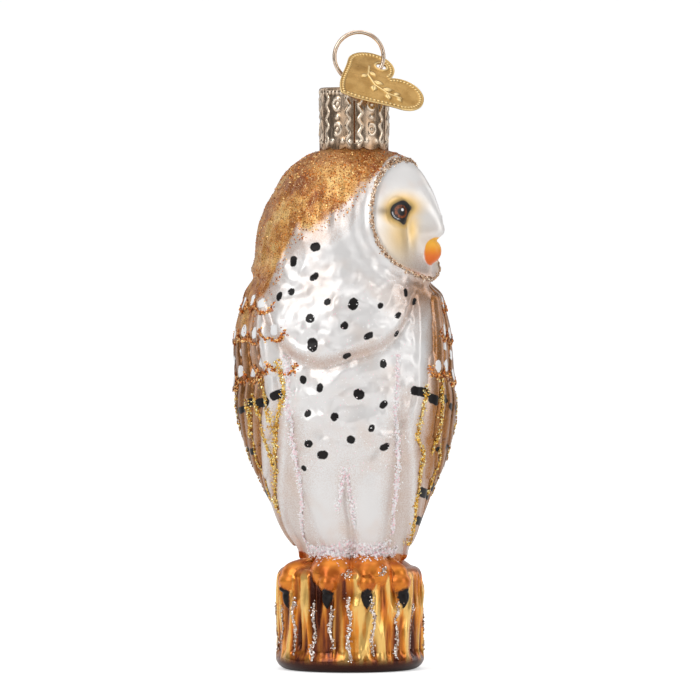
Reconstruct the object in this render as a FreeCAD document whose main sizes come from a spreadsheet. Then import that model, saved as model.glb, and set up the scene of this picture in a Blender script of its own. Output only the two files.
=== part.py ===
"""A blown glass barn owl on a tree stump, with its metal cap, wire hanger, heart tag and glitter lines.

Row frame: +Z up, the breast faces -Y, the head is turned towards +X, and the origin is the
centre of the stump's flat underside. Every driving size is a cell of the spreadsheet "sizes".
"""
import FreeCAD, Part
import math
import os

import Sketcher
from FreeCAD import Placement, Rotation, Vector

Z_AXIS = Vector(0, 0, 1)

# Millimetres and degrees.
SIZES = {
    "wall": 1.1,
    "stump_radius": 14.2,
    "stump_height": 19.6,
    "stump_rounding": 2.4,
    "bark_grooves": 24,
    "groove_radius": 0.8,
    "groove_offset": 0.35,
    "groove_foot": 2.0,
    "groove_top_gap": 3.0,
    "neck_shift": 0.8,
    "neck_radius": 6.2,
    "neck_bore": 5.1,
    "neck_top": 110.05,
    "neck_foot": 94.0,
    "cap_radius": 6.75,
    "cap_sheet": 0.3,
    "cap_foot": 98.5,
    "cap_top": 110.4,
    "cap_shoulder": 0.6,
    "cap_slots": 6,
    "slot_width": 0.35,
    "slot_foot": 1.2,
    "slot_height": 9.4,
    "scallops": 12,
    "scallop_radius": 1.35,
    "scallop_lift": 0.6,
    "wire_radius": 0.4,
    "leg_spacing": 1.8,
    "leg_hole_radius": 0.6,
    "loop_radius": 4.65,
    "loop_height": 116.3,
    "loop_lean": 0.9,
    "tag_lobe_radius": 4.6,
    "tag_lobe_spacing": 9.0,
    "tag_length": 16.2,
    "tag_sheet": 0.32,
    "tag_field": 0.88,
    "tag_rim_proud": 0.12,
    "tag_hole_radius": 1.0,
    "tag_hole_side": 3.7,
    "tag_hole_up": 1.95,
    "tag_wire_angle": -25.0,
    "face_turn": 65.0,
    "face_height": 85.3,
    "disc_reach": 14.6,
    "disc_width": 23.0,
    "disc_tall": 22.4,
    "disc_depth": 4.6,
    "disc_sunk": 3.4,
    "ridge_tall": 17.2,
    "ridge_wide": 5.2,
    "ridge_depth": 3.4,
    "ridge_proud": 0.2,
    "eye_turn": 30.0,
    "eye_height": 86.6,
    "eye_radius": 2.2,
    "eye_sunk": 1.0,
    "beak_height": 79.6,
    "beak_reach": 17.6,
    "beak_tall": 5.4,
    "beak_wide": 3.2,
    "beak_depth": 2.0,
    "beak_sunk": 1.2,
    "toe_tall": 5.8,
    "toe_wide": 5.4,
    "toe_reach": 4.2,
    "toe_set_back": 3.2,
    "toe_sunk": 0.6,
    "claw_tip_radius": 0.35,
    "claw_root_radius": 1.25,
    "claw_length": 3.6,
    "claw_drop": 6.0,
    "claw_sunk": 0.1,
    "bead_radius": 0.42,
    "bark_lines": 18,
}

# Azimuths of the four front toes, from the front towards +X.
TOE_TURNS = (-62, -21, 11, 46)

# One leg of the hanger through its hole in the cap: its spread, and its height from the cap's top.
LEG_SHAPE = ((0, 0.3), (0, -2.2), (0, -4.6), (0.7, -7.5), (2.0, -11.5), (3.1, -15.5), (5.4, -21.0))
# The extra opening on each side of the loop's foot, in degrees.
LOOP_OPENING = 5
# The tag leans on the cap's front edge: its lobes point along TAG_SIDE and its tip along TAG_DOWN.
TAG_SIDE = Vector(0.622, -0.511, -0.594)
TAG_DOWN = Vector(-0.727, -0.653, -0.213)

# Stations of the torso and head: height, width, depth, and the centre's shift along X and Y.
TORSO = {
    "socket": (16.0, 19.0, 17.6, 0.4, 0.3),
    "ankle": (21.0, 19.6, 18.4, 0.4, 0.5),
    "thigh": (28.0, 25.6, 25.0, 0.0, 0.4),
    "belly": (38.0, 32.0, 31.0, -0.5, 0.4),
    "breast": (52.0, 35.4, 34.6, -1.0, 0.0),
    "throat": (66.0, 36.0, 34.4, -1.2, 0.0),
    "nape": (75.0, 34.2, 32.4, -1.1, 0.2),
    "cheek": (83.0, 32.4, 31.0, -1.2, 0.2),
    "brow": (90.0, 29.6, 28.6, 0.0, 0.1),
    "crown": (95.2, 23.4, 22.8, 0.5, 0.0),
    "collar": (98.0, 15.4, 15.2, 0.8, 0.0),
}
# Stations of one folded wing: height, width, depth, the centre's distance from the torso's axis, and its Y.
WING = {
    "tip": (22.4, 5.0, 9.0, 6.6, 5.0),
    "quills": (31.0, 9.0, 17.0, 10.4, 4.4),
    "flight": (42.0, 13.0, 24.0, 12.8, 3.6),
    "covert": (54.0, 15.4, 27.0, 13.4, 3.0),
    "shoulder": (64.5, 14.0, 24.6, 13.6, 2.6),
    "bend": (71.5, 8.6, 15.0, 12.8, 2.2),
    "crest": (74.6, 3.0, 6.0, 12.4, 2.0),
}
STATION_CELLS = ("height", "width", "depth", "shift_x", "shift_y")

doc = FreeCAD.newDocument("owl_ornament")


def fill_sheet():
    """Writes every driving size into the spreadsheet, one aliased cell each."""
    sheet = doc.addObject("Spreadsheet::Sheet", "sizes")
    cells = dict(SIZES)
    for group in (TORSO, WING):
        for station, values in group.items():
            for cell, value in zip(STATION_CELLS, values):
                cells[f"{station}_{cell}"] = value
    for row, (alias, value) in enumerate(cells.items(), start=1):
        sheet.set(f"A{row}", alias)
        sheet.set(f"B{row}", str(value))
        sheet.setAlias(f"B{row}", alias)
    doc.recompute()
    return sheet


sheet = fill_sheet()


def size(alias):
    return float(sheet.get(alias))


def part(kind, name, place=None, turn=None, **bound):
    """A Part object whose properties are bound to expressions, with an optional turn (axis, degrees)."""
    obj = doc.addObject(kind, name)
    if turn:
        obj.Placement = Placement(Vector(), Rotation(*turn))
    for prop, expression in bound.items():
        obj.setExpression(prop, str(expression))
    for axis, expression in (place or {}).items():
        obj.setExpression(f"Placement.Base.{axis}", str(expression))
    return obj


def fuse(name, shapes):
    obj = doc.addObject("Part::MultiFuse", name)
    obj.Shapes = shapes
    return obj


def cut(name, base, tool):
    obj = doc.addObject("Part::Cut", name)
    obj.Base = base
    obj.Tool = tool
    return obj


def loft(name, sections):
    obj = doc.addObject("Part::Loft", name)
    obj.Sections = sections
    obj.Solid = True
    return obj


# ---------------------------------------------------------------- the blown glass owl


def torso_loft(name, inset):
    """The torso and head as one loft of ellipses, each drawn in and lowered by the inset."""
    sections = []
    for station in TORSO:
        sections.append(
            part(
                "Part::Ellipse",
                f"{name}_{station}",
                MajorRadius=f"sizes.{station}_width / 2 - {inset}",
                MinorRadius=f"sizes.{station}_depth / 2 - {inset}",
                place={
                    "x": f"sizes.{station}_shift_x",
                    "y": f"sizes.{station}_shift_y",
                    "z": f"sizes.{station}_height - {inset}",
                },
            )
        )
    return loft(name, sections)


def wing_loft(name, side, inset):
    """One folded wing as a loft of ellipses, turned a quarter because each is deeper than it is wide."""
    sections = []
    for station in WING:
        sections.append(
            part(
                "Part::Ellipse",
                f"{name}_{station}",
                turn=(Z_AXIS, 90),
                MajorRadius=f"sizes.{station}_depth / 2 - {inset}",
                MinorRadius=f"sizes.{station}_width / 2 - {inset}",
                place={
                    "x": f"sizes.breast_shift_x + {side} * sizes.{station}_shift_x",
                    "y": f"sizes.{station}_shift_y",
                    "z": f"sizes.{station}_height",
                },
            )
        )
    return loft(name, sections)


def rounded_drum(name, radius, foot, height, rounding):
    """A drum standing on its foot height, with both rims rounded."""
    drum = part("Part::Cylinder", f"{name}_blank", Radius=radius, Height=height, place={"z": foot})
    doc.recompute()
    obj = doc.addObject("Part::Fillet", name)
    obj.Base = drum
    rims = [
        i + 1 for i, edge in enumerate(drum.Shape.Edges) if edge.Curve.TypeId == "Part::GeomCircle"
    ]
    obj.Edges = [(i, rounding, rounding) for i in rims]
    return obj


def stump():
    """The tree stump: a rounded drum with upright grooves between its bark ridges."""
    drum = rounded_drum(
        "stump_drum", "sizes.stump_radius", "0", "sizes.stump_height", size("stump_rounding")
    )
    grooves = []
    count = int(size("bark_grooves"))
    for i in range(count):
        angle = 360 * i / count
        grooves.append(
            part(
                "Part::Cylinder",
                f"groove_{i}",
                Radius="sizes.groove_radius",
                Height="sizes.stump_height - sizes.groove_foot - sizes.groove_top_gap",
                place={
                    "x": f"(sizes.stump_radius + sizes.groove_offset) * cos({angle})",
                    "y": f"(sizes.stump_radius + sizes.groove_offset) * sin({angle})",
                    "z": "sizes.groove_foot",
                },
            )
        )
    return cut("stump", drum, fuse("bark_grooves", grooves))


def face_parts():
    """Facial disc, brow ridge, eyes and beak, set round the head's turned front."""
    turn = "sizes.face_turn"

    def ahead(reach, swing="0"):
        return {
            "x": f"sizes.cheek_shift_x + ({reach}) * sin({turn} + ({swing}))",
            "y": f"-({reach}) * cos({turn} + ({swing}))",
        }

    # An ellipsoid's Radius1 runs along its own Z and Radius2 along its own X, which faces ahead.
    facing = (Z_AXIS, size("face_turn") - 90)
    pieces = []
    for name, tall, deep, wide, reach, height in (
        ("facial_disc", "disc_tall / 2", "disc_depth", "disc_width / 2",
         "sizes.disc_reach - sizes.disc_sunk", "face_height"),
        ("brow_ridge", "ridge_tall / 2", "ridge_depth", "ridge_wide / 2",
         "sizes.disc_reach + sizes.ridge_proud", "face_height"),
        ("beak", "beak_tall / 2", "beak_depth", "beak_wide / 2",
         "sizes.beak_reach - sizes.beak_sunk", "beak_height"),
    ):
        pieces.append(
            part(
                "Part::Ellipsoid",
                name,
                turn=facing,
                Radius1=f"sizes.{tall}",
                Radius2=f"sizes.{deep}",
                Radius3=f"sizes.{wide}",
                place={**ahead(reach), "z": f"sizes.{height}"},
            )
        )
    for name, side in (("near_eye", -1), ("far_eye", 1)):
        spot = ahead("sizes.disc_reach - sizes.eye_sunk", f"{side} * sizes.eye_turn")
        spot["z"] = "sizes.eye_height"
        pieces.append(part("Part::Sphere", name, Radius="sizes.eye_radius", place=spot))
    for ball in pieces:
        ball.setExpression("Angle1", "-90")
        ball.setExpression("Angle2", "90")
    return pieces


def foot_parts():
    """Four front toes over the stump's rim, each with a claw that points down the bark."""
    pieces = []
    for i, angle in enumerate(TOE_TURNS):

        def out(reach):
            return {"x": f"({reach}) * sin({angle})", "y": f"-({reach}) * cos({angle})"}

        pieces.append(
            part(
                "Part::Ellipsoid",
                f"toe_{i}",
                turn=(Z_AXIS, angle - 90),
                Radius1="sizes.toe_tall / 2",
                Radius2="sizes.toe_reach",
                Radius3="sizes.toe_wide / 2",
                Angle1="-90",
                place={
                    **out("sizes.stump_radius - sizes.toe_set_back"),
                    "z": "sizes.stump_height - sizes.toe_sunk",
                },
            )
        )
        pieces.append(
            part(
                "Part::Cone",
                f"claw_{i}",
                Radius1="sizes.claw_tip_radius",
                Radius2="sizes.claw_root_radius",
                Height="sizes.claw_length",
                place={
                    **out("sizes.stump_radius - sizes.claw_sunk"),
                    "z": "sizes.stump_height - sizes.claw_drop",
                },
            )
        )
    return pieces


def neck_tube(name, radius, foot):
    return part(
        "Part::Cylinder",
        name,
        Radius=radius,
        Height=f"sizes.neck_top - ({foot})",
        place={"x": "sizes.neck_shift", "z": foot},
    )


def glass_owl():
    """The thin-walled glass figure, open at its neck."""
    outside = fuse(
        "outer_form",
        [
            torso_loft("torso", "0"),
            wing_loft("left_wing", 1, "0"),
            wing_loft("right_wing", -1, "0"),
            stump(),
            neck_tube("neck", "sizes.neck_radius", "sizes.neck_foot"),
            *face_parts(),
            *foot_parts(),
        ],
    )
    inside = fuse(
        "cavity",
        [
            torso_loft("torso_hollow", "sizes.wall"),
            wing_loft("left_wing_hollow", 1, "sizes.wall"),
            wing_loft("right_wing_hollow", -1, "sizes.wall"),
            part(
                "Part::Cylinder",
                "stump_hollow",
                Radius="sizes.stump_radius - sizes.groove_radius - sizes.wall",
                Height="sizes.stump_height - 2 * sizes.wall",
                place={"z": "sizes.wall"},
            ),
            part(
                "Part::Cylinder",
                "neck_hollow",
                Radius="sizes.neck_bore",
                Height="sizes.neck_top",
                place={"x": "sizes.neck_shift", "z": "sizes.neck_foot"},
            ),
        ],
    )
    owl = cut("glass_owl", outside, inside)
    return outside, owl


# ---------------------------------------------------------------- cap, hanger and tag


def sketch_on(body, name, plane, lift=None):
    """A sketch on one of the body's own origin planes, lifted along that plane's normal."""
    sketch = body.newObject("Sketcher::SketchObject", name)
    origin = next(f for f in body.Origin.OriginFeatures if f.Role == plane)
    sketch.AttachmentSupport = [(origin, "")]
    sketch.MapMode = "FlatFace"
    if lift:
        sketch.setExpression("AttachmentOffset.Base.z", lift)
    return sketch


def circle_sketch(body, name, radius, lift=None, centre=(0, 0)):
    """One circle on XY whose radius and centre are bound to expressions."""
    sketch = sketch_on(body, name, "XY_Plane", lift)
    sketch.addGeometry(Part.Circle(Vector(1, 1, 0), Z_AXIS, 1), False)
    sketch.addConstraint(Sketcher.Constraint("Radius", 0, 1))
    sketch.setExpression("Constraints[0]", radius)
    for i, (kind, value) in enumerate(zip(("DistanceX", "DistanceY"), centre), start=1):
        sketch.addConstraint(Sketcher.Constraint(kind, -1, 1, 0, 3, 1))
        sketch.setExpression(f"Constraints[{i}]", str(value))
    return sketch


def box_sketch(body, name, plane, low, high, lift=None):
    """A rectangle whose corner coordinates are bound to expressions."""
    sketch = sketch_on(body, name, plane, lift)
    corners = [Vector(1, 1, 0), Vector(2, 1, 0), Vector(2, 2, 0), Vector(1, 2, 0)]
    for a, b in zip(corners, corners[1:] + corners[:1]):
        sketch.addGeometry(Part.LineSegment(a, b), False)
    for i in range(4):
        sketch.addConstraint(Sketcher.Constraint("Coincident", i, 2, (i + 1) % 4, 1))
    for i, kind in enumerate(("Horizontal", "Vertical", "Horizontal", "Vertical")):
        sketch.addConstraint(Sketcher.Constraint(kind, i))
    for line, corner in ((0, low), (2, high)):
        for kind, value in zip(("DistanceX", "DistanceY"), corner):
            index = sketch.addConstraint(Sketcher.Constraint(kind, -1, 1, line, 1, 1.5))
            sketch.setExpression(f"Constraints[{index}]", value)
    return sketch


def pad(body, name, sketch, length):
    feature = body.newObject("PartDesign::Pad", name)
    feature.Profile = sketch
    feature.setExpression("Length", length)
    doc.recompute()
    return feature


def pocket(body, name, sketch, length, reverse=False):
    """Cuts a sketch out of the body, and stops the build if it cuts nothing."""
    before = body.Shape.Volume
    feature = body.newObject("PartDesign::Pocket", name)
    feature.Profile = sketch
    feature.Reversed = reverse
    feature.setExpression("Length", length)
    doc.recompute()
    if body.Shape.Volume >= before - 1e-6:
        raise RuntimeError(f"{name} cuts nothing")
    return feature


def around(body, name, feature, count):
    """Repeats a feature round the body's own Z axis."""
    pattern = body.newObject("PartDesign::PolarPattern", name)
    pattern.Originals = [feature]
    pattern.Axis = (next(f for f in body.Origin.OriginFeatures if f.Role == "Z_Axis"), [""])
    pattern.Angle = 360
    pattern.setExpression("Occurrences", count)
    body.Tip = pattern
    doc.recompute()
    return pattern


def cap_body():
    """A cup of thin sheet over the neck: closed top with two wire holes, slotted side, scalloped foot."""
    body = doc.addObject("PartDesign::Body", "cap")
    tall = "(sizes.cap_top - sizes.cap_foot)"
    blank = pad(body, "cup_blank", circle_sketch(body, "cup_outline", "sizes.cap_radius"), tall)
    rims = [
        (edge.CenterOfMass.z, f"Edge{i}")
        for i, edge in enumerate(blank.Shape.Edges, start=1)
        if edge.Curve.TypeId == "Part::GeomCircle"
    ]
    shoulder = body.newObject("PartDesign::Fillet", "cap_shoulder")
    shoulder.Base = (blank, [max(rims)[1]])
    shoulder.setExpression("Radius", "sizes.cap_shoulder")
    doc.recompute()
    hollow = circle_sketch(body, "hollow_outline", "sizes.cap_radius - sizes.cap_sheet")
    pocket(body, "hollow", hollow, f"{tall} - sizes.cap_sheet", reverse=True)
    for name, side in (("left_wire_hole", -1), ("right_wire_hole", 1)):
        spot = (f"{side} * sizes.leg_spacing / 2", 0)
        hole = circle_sketch(body, f"{name}_outline", "sizes.leg_hole_radius", tall, spot)
        pocket(body, name, hole, "2 * sizes.cap_sheet")
    slot = box_sketch(
        body,
        "slot_outline",
        "XZ_Plane",
        ("-sizes.slot_width / 2", "sizes.slot_foot"),
        ("sizes.slot_width / 2", "sizes.slot_height"),
        "sizes.cap_radius - 1",
    )
    first_slot = pocket(body, "slot", slot, "2", reverse=True)
    around(body, "slots", first_slot, "sizes.cap_slots")
    scallop = sketch_on(body, "scallop_outline", "XZ_Plane", "sizes.cap_radius - 1.6")
    scallop.addGeometry(Part.Circle(Vector(0, 0, 0), Z_AXIS, 1), False)
    scallop.addConstraint(Sketcher.Constraint("Radius", 0, 1))
    scallop.setExpression("Constraints[0]", "sizes.scallop_radius")
    scallop.addConstraint(Sketcher.Constraint("PointOnObject", 0, 3, -2))
    scallop.addConstraint(Sketcher.Constraint("DistanceY", 0, 3, -1, 1, 1))
    scallop.setExpression("Constraints[2]", "sizes.scallop_lift")
    first_scallop = pocket(body, "scallop", scallop, "3", reverse=True)
    around(body, "scallop_ring", first_scallop, "sizes.scallops")
    body.setExpression("Placement.Base.x", "sizes.neck_shift")
    body.setExpression("Placement.Base.z", "sizes.cap_foot")
    return body


def hanger_path():
    """The wire's centre line: up one leg, round the loop and down the other leg."""
    neck_x, lean = size("neck_shift"), size("loop_lean")
    loop_r, loop_z, cap_top = size("loop_radius"), size("loop_height"), size("cap_top")
    gap = size("leg_spacing") / 2
    # The loop opens towards the cap's middle, a little wider than the legs' spacing.
    towards_cap = -90 - math.degrees(math.atan2(lean, loop_z - cap_top))
    half_opening = math.degrees(math.asin(gap / loop_r)) + LOOP_OPENING
    steps = 24
    loop = []
    for i in range(steps + 1):
        angle = math.radians(towards_cap - half_opening - i * (360 - 2 * half_opening) / steps)
        loop.append(Vector(neck_x + lean + loop_r * math.cos(angle), 0, loop_z + loop_r * math.sin(angle)))

    def leg(side):
        # Straight through the cap, then sprung outwards below the neck's bore.
        return [Vector(neck_x + side * (gap + spread), 0, cap_top + drop) for spread, drop in LEG_SHAPE]

    return list(reversed(leg(-1))) + loop + leg(1)


def wire_hanger():
    """Round spring wire swept along its path."""
    points = hanger_path()
    curve = Part.BSplineCurve()
    curve.interpolate(points)
    spine = doc.addObject("Part::Feature", "hanger_spine")
    spine.Shape = Part.Wire([curve.toShape()])
    start = curve.tangent(curve.FirstParameter)[0]
    section = doc.addObject("Part::Circle", "hanger_section")
    section.setExpression("Radius", "sizes.wire_radius")
    section.Placement = Placement(points[0], Rotation(Z_AXIS, start))
    sweep = doc.addObject("Part::Sweep", "wire_hanger")
    sweep.Sections = [section]
    sweep.Spine = (spine, ["Edge1"])
    sweep.Solid = True
    sweep.Frenet = False
    return sweep


def heart_outline(scale=1.0):
    """The heart's closed edge on XY, scaled about its middle: two lobe arcs and two flanks."""
    lobe = size("tag_lobe_radius")
    half = size("tag_lobe_spacing") / 2
    tip = Vector(0, lobe - size("tag_length"), 0)
    cleft = Vector(0, math.sqrt(lobe**2 - half**2), 0)
    # The flank touches the lobe where the tip sees it edge on.
    touch_angle = math.atan2(tip.y, -half) + math.acos(lobe / math.hypot(half, tip.y))
    crown_angle = (math.atan2(cleft.y, -half) + touch_angle) / 2
    touch, crown = (
        Vector(half + lobe * math.cos(angle), lobe * math.sin(angle), 0)
        for angle in (touch_angle, crown_angle)
    )
    middle = Vector(0, -size("tag_length") / 6, 0)

    def placed(p, side=1):
        return middle + (Vector(side * p.x, p.y, 0) - middle) * scale

    return [
        Part.Arc(placed(cleft), placed(crown), placed(touch)),
        Part.LineSegment(placed(touch), placed(tip)),
        Part.LineSegment(placed(tip), placed(touch, -1)),
        Part.Arc(placed(touch, -1), placed(crown, -1), placed(cleft, -1)),
    ]


def loop_point(angle):
    """A point of the hanger's loop and the wire's direction there."""
    turn = math.radians(angle)
    centre = Vector(size("neck_shift") + size("loop_lean"), 0, size("loop_height"))
    return (
        centre + Vector(math.cos(turn), 0, math.sin(turn)) * size("loop_radius"),
        Vector(-math.sin(turn), 0, math.cos(turn)),
    )


def heart_tag():
    """A stamped heart with a raised rim and a hole in one lobe, hung on the loop over the cap's edge."""
    body = doc.addObject("PartDesign::Body", "heart_tag")
    for name, lift, height in (
        ("plate", "0", "sizes.tag_sheet"),
        ("rim", "sizes.tag_sheet", "sizes.tag_rim_proud"),
    ):
        outline = sketch_on(body, f"{name}_outline", "XY_Plane", lift)
        outline.addGeometry(heart_outline(), False)
        pad(body, name, outline, height)
    inner = sketch_on(body, "rim_inside", "XY_Plane", "sizes.tag_sheet + sizes.tag_rim_proud")
    inner.addGeometry(heart_outline(size("tag_field")), False)
    pocket(body, "rim_pocket", inner, "sizes.tag_rim_proud")
    hole = circle_sketch(
        body,
        "hole_outline",
        "sizes.tag_hole_radius",
        "sizes.tag_sheet + sizes.tag_rim_proud",
        ("-sizes.tag_hole_side", "sizes.tag_hole_up"),
    )
    pocket(body, "tag_hole", hole, "2 * sizes.tag_sheet")
    side = Vector(TAG_SIDE).normalize()
    face = TAG_DOWN.cross(side).normalize()
    up = face.cross(side)
    turn = Rotation(side, up, face, "XYZ")
    hang, _ = loop_point(size("tag_wire_angle"))
    hole_spot = Vector(-size("tag_hole_side"), size("tag_hole_up"), size("tag_sheet") / 2)
    body.Placement = Placement(hang - turn.multVec(hole_spot), turn)
    return body


# ---------------------------------------------------------------- glitter lines


def on_glass(azimuth, height, shape):
    """The point of the glass figure's outside at an azimuth from the front and a height."""
    turn = math.radians(azimuth)
    axis = Vector(size("breast_shift_x") * 0.5, 0, height)
    ray = Part.LineSegment(axis, axis + Vector(math.sin(turn), -math.cos(turn), 0) * 40).toShape()
    return max((v.Point for v in ray.common(shape).Vertexes), key=lambda p: (p - axis).Length)


def bead(points, shape):
    """A round bead of glitter laid through points given as (azimuth, height)."""
    spots = [on_glass(azimuth, height, shape) for azimuth, height in points]
    curve = Part.BSplineCurve()
    curve.interpolate(spots)
    spine = Part.Wire([curve.toShape()])
    start = curve.tangent(curve.FirstParameter)[0]
    ring = Part.Wire([Part.Circle(spots[0], start, size("bead_radius")).toShape()])
    return spine.makePipeShell([ring], True, False)


def face_rim_lines():
    turn, height = size("face_turn"), size("face_height")
    rim = []
    for i in range(13):
        t = math.radians(-172 + 344 * i / 12)
        rim.append((turn + 41 * math.sin(t), height + 11.2 * math.cos(t)))
    return [rim]


def wing_gold_lines():
    lines = []
    for side in (-1, 1):
        for top, foot, lean in ((52, 24, 0), (68, 33, 6), (84, 30, 10), (102, 32, 12)):
            middle = (55 + foot) / 2
            lines.append(
                [(side * top, 55), (side * (top + lean / 2), middle), (side * (top + lean), foot)]
            )
    return lines


def wing_copper_lines():
    """Scallops round the tips of the wing's small feathers."""
    lines = []
    for side in (-1, 1):
        for centre, foot in ((58, 62), (76, 65), (70, 56.5), (88, 55.5), (106, 54.5), (96, 64)):
            scallop = []
            for turn in (-90, -45, 0, 45, 90):
                t = math.radians(turn)
                scallop.append((side * (centre + 8 * math.sin(t)), foot + 4.2 * (1 - math.cos(t))))
            lines.append(scallop)
    return lines


def breast_white_lines():
    return [
        [(-38, 57), (-37, 42), (-40, 32), (-46, 24)],
        [(31, 57), (31, 42), (36, 32), (42, 24)],
        [(-5, 39), (-10, 34), (-12, 30)],
        [(-4, 39), (1, 33), (2, 26)],
        [(-42, 23.2), (-20, 23), (0, 23), (20, 23), (40, 23.2)],
    ]


def bark_glitter_lines():
    lines = []
    count = int(size("bark_lines"))
    for i in range(count):
        azimuth = 360 * i / count + 4
        lines.append([(azimuth, 4.0), (azimuth + 3, 8), (azimuth - 2, 13)])
    return lines


def glitter(name, lines, shape):
    obj = doc.addObject("Part::Feature", name)
    obj.Shape = Part.makeCompound([bead(points, shape) for points in lines])
    return obj


# ---------------------------------------------------------------- build, check and write

outer_form, owl = glass_owl()
owl.Label = "glass_owl"
doc.recompute()
pieces = [owl, cap_body(), wire_hanger(), heart_tag()]
doc.recompute()
for label, lines in (
    ("glitter_face_rim", face_rim_lines()),
    ("glitter_wing_quills", wing_gold_lines()),
    ("glitter_wing_scallops", wing_copper_lines()),
    ("glitter_breast", breast_white_lines()),
    ("glitter_bark", bark_glitter_lines()),
):
    pieces.append(glitter(label, lines, outer_form.Shape))
doc.recompute()

for obj in doc.Objects:
    if "Invalid" in obj.State or "Error" in obj.State:
        raise RuntimeError(f"{obj.Name} failed: {obj.State}")
os.makedirs("parts", exist_ok=True)
for piece in pieces:
    shape = piece.Shape
    if shape.isNull() or not shape.isValid() or not shape.Solids:
        raise RuntimeError(f"{piece.Label} has no valid solid")
    shape.exportStep(f"parts/{piece.Label}.step")
    print(piece.Label, len(shape.Solids), round(shape.Volume, 1))
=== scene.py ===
"""Looks of a hanging blown glass barn owl ornament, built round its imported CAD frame.

Design lengths are millimetres in the CAD frame: +Z up, the breast faces -Y and the head is turned
towards +X. A place on the figure is its turn, in degrees from the front towards +X, and its height.
"""

import itertools
import math
from typing import NamedTuple

import bmesh
import bpy
import numpy as np
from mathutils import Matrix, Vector
from mathutils.bvhtree import BVHTree


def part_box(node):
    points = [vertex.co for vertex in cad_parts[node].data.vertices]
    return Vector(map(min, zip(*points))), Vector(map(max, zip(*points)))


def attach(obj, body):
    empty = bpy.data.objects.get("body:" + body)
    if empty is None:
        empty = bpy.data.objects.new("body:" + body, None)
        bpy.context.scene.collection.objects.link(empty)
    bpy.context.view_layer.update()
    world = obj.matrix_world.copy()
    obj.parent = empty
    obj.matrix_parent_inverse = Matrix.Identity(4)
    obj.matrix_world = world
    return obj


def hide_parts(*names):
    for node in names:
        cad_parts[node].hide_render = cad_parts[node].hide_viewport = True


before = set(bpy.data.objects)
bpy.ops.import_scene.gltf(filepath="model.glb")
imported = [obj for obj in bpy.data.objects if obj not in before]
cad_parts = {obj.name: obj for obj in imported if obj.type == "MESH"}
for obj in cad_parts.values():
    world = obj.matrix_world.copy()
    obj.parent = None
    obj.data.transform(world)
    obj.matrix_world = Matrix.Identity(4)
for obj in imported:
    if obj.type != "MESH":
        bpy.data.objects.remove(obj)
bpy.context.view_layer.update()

MM = 0.001
rng = np.random.default_rng(11)


def box_mm(node):
    """Lowest and highest corner of a CAD node's box, in millimetres."""
    low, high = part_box(node)
    return np.array(low) / MM, np.array(high) / MM


CAP_LOW, CAP_HIGH = box_mm("cap")
NECK_TOP = box_mm("glass_owl")[1][2]
NECK_X = (CAP_LOW[0] + CAP_HIGH[0]) / 2
CAP_RADIUS = (CAP_HIGH[0] - CAP_LOW[0]) / 2
CAP_SHEET = 0.3
CAP_PLAY = 0.25
NECK_RADIUS = CAP_RADIUS - CAP_SHEET - CAP_PLAY
WALL = 1.1

# ---------------------------------------------------------------- shape helpers


def ramp(low, high, value):
    """Smooth step from 0 at low to 1 at high."""
    t = np.clip((value - low) / (high - low), 0.0, 1.0)
    return t * t * (3 - 2 * t)


def bell(value, width):
    """1 at zero, falling smoothly away on both sides."""
    return np.exp(-((value / width) ** 2))


def soft_max(a, b, blend):
    """The larger of two heights, rounded where they meet."""
    t = np.clip(0.5 + 0.5 * (a - b) / blend, 0.0, 1.0)
    return b + (a - b) * t + blend * t * (1 - t)


def curve_through(knots, values):
    """Smooth curve through (place, value) knots, level beyond both ends."""
    xs, ys = np.array(sorted(knots), float).T
    slopes = np.gradient(ys, xs)
    i = np.clip(np.searchsorted(xs, values) - 1, 0, len(xs) - 2)
    gap = xs[i + 1] - xs[i]
    t = np.clip((values - xs[i]) / gap, 0.0, 1.0)
    rise = ys[i] * (1 + 2 * t) * (1 - t) ** 2 + ys[i + 1] * t * t * (3 - 2 * t)
    lean = gap * (slopes[i] * t * (1 - t) ** 2 - slopes[i + 1] * t * t * (1 - t))
    return rise + lean


def round_over(inside):
    """A quarter circle's height, from 0 at an edge to 1 at a depth of 1 and beyond."""
    return np.sqrt(np.clip(1 - (1 - np.clip(inside, 0, 1)) ** 2, 0, 1))


def soft_noise(points, cell, seed=0):
    """Smooth random values from -1 to 1 on a lattice of the given cell, the same on every run.

    The seed only tells one noise from another.
    """
    q = points / np.asarray(cell, float)
    base = np.floor(q)
    f = q - base
    f = f * f * (3 - 2 * f)
    total = np.zeros(q.shape[:-1])
    for corner in itertools.product((0, 1), repeat=3):
        lattice = base + corner
        dot = lattice @ np.array((127.1, 311.7, 74.7)) + seed * 17.17
        value = np.modf(np.abs(np.sin(dot)) * 43758.5453)[0]
        weight = np.prod(np.where(corner, f, 1 - f), axis=-1)
        total += weight * value
    return 2 * total - 1


def smooth_noise(points, cell, seed=0):
    """Soft noise with a finer layer of half the strength over it."""
    broad = soft_noise(points, np.asarray(cell), seed)
    fine = soft_noise(points, np.asarray(cell) / 2.03, seed + 1)
    return (broad + 0.5 * fine) / 1.5


# ---------------------------------------------------------------- the figure's plain form

STUMP_RADIUS = 14.2
STUMP_HEIGHT = 19.6
STUMP_ROUNDING = 2.6

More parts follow.
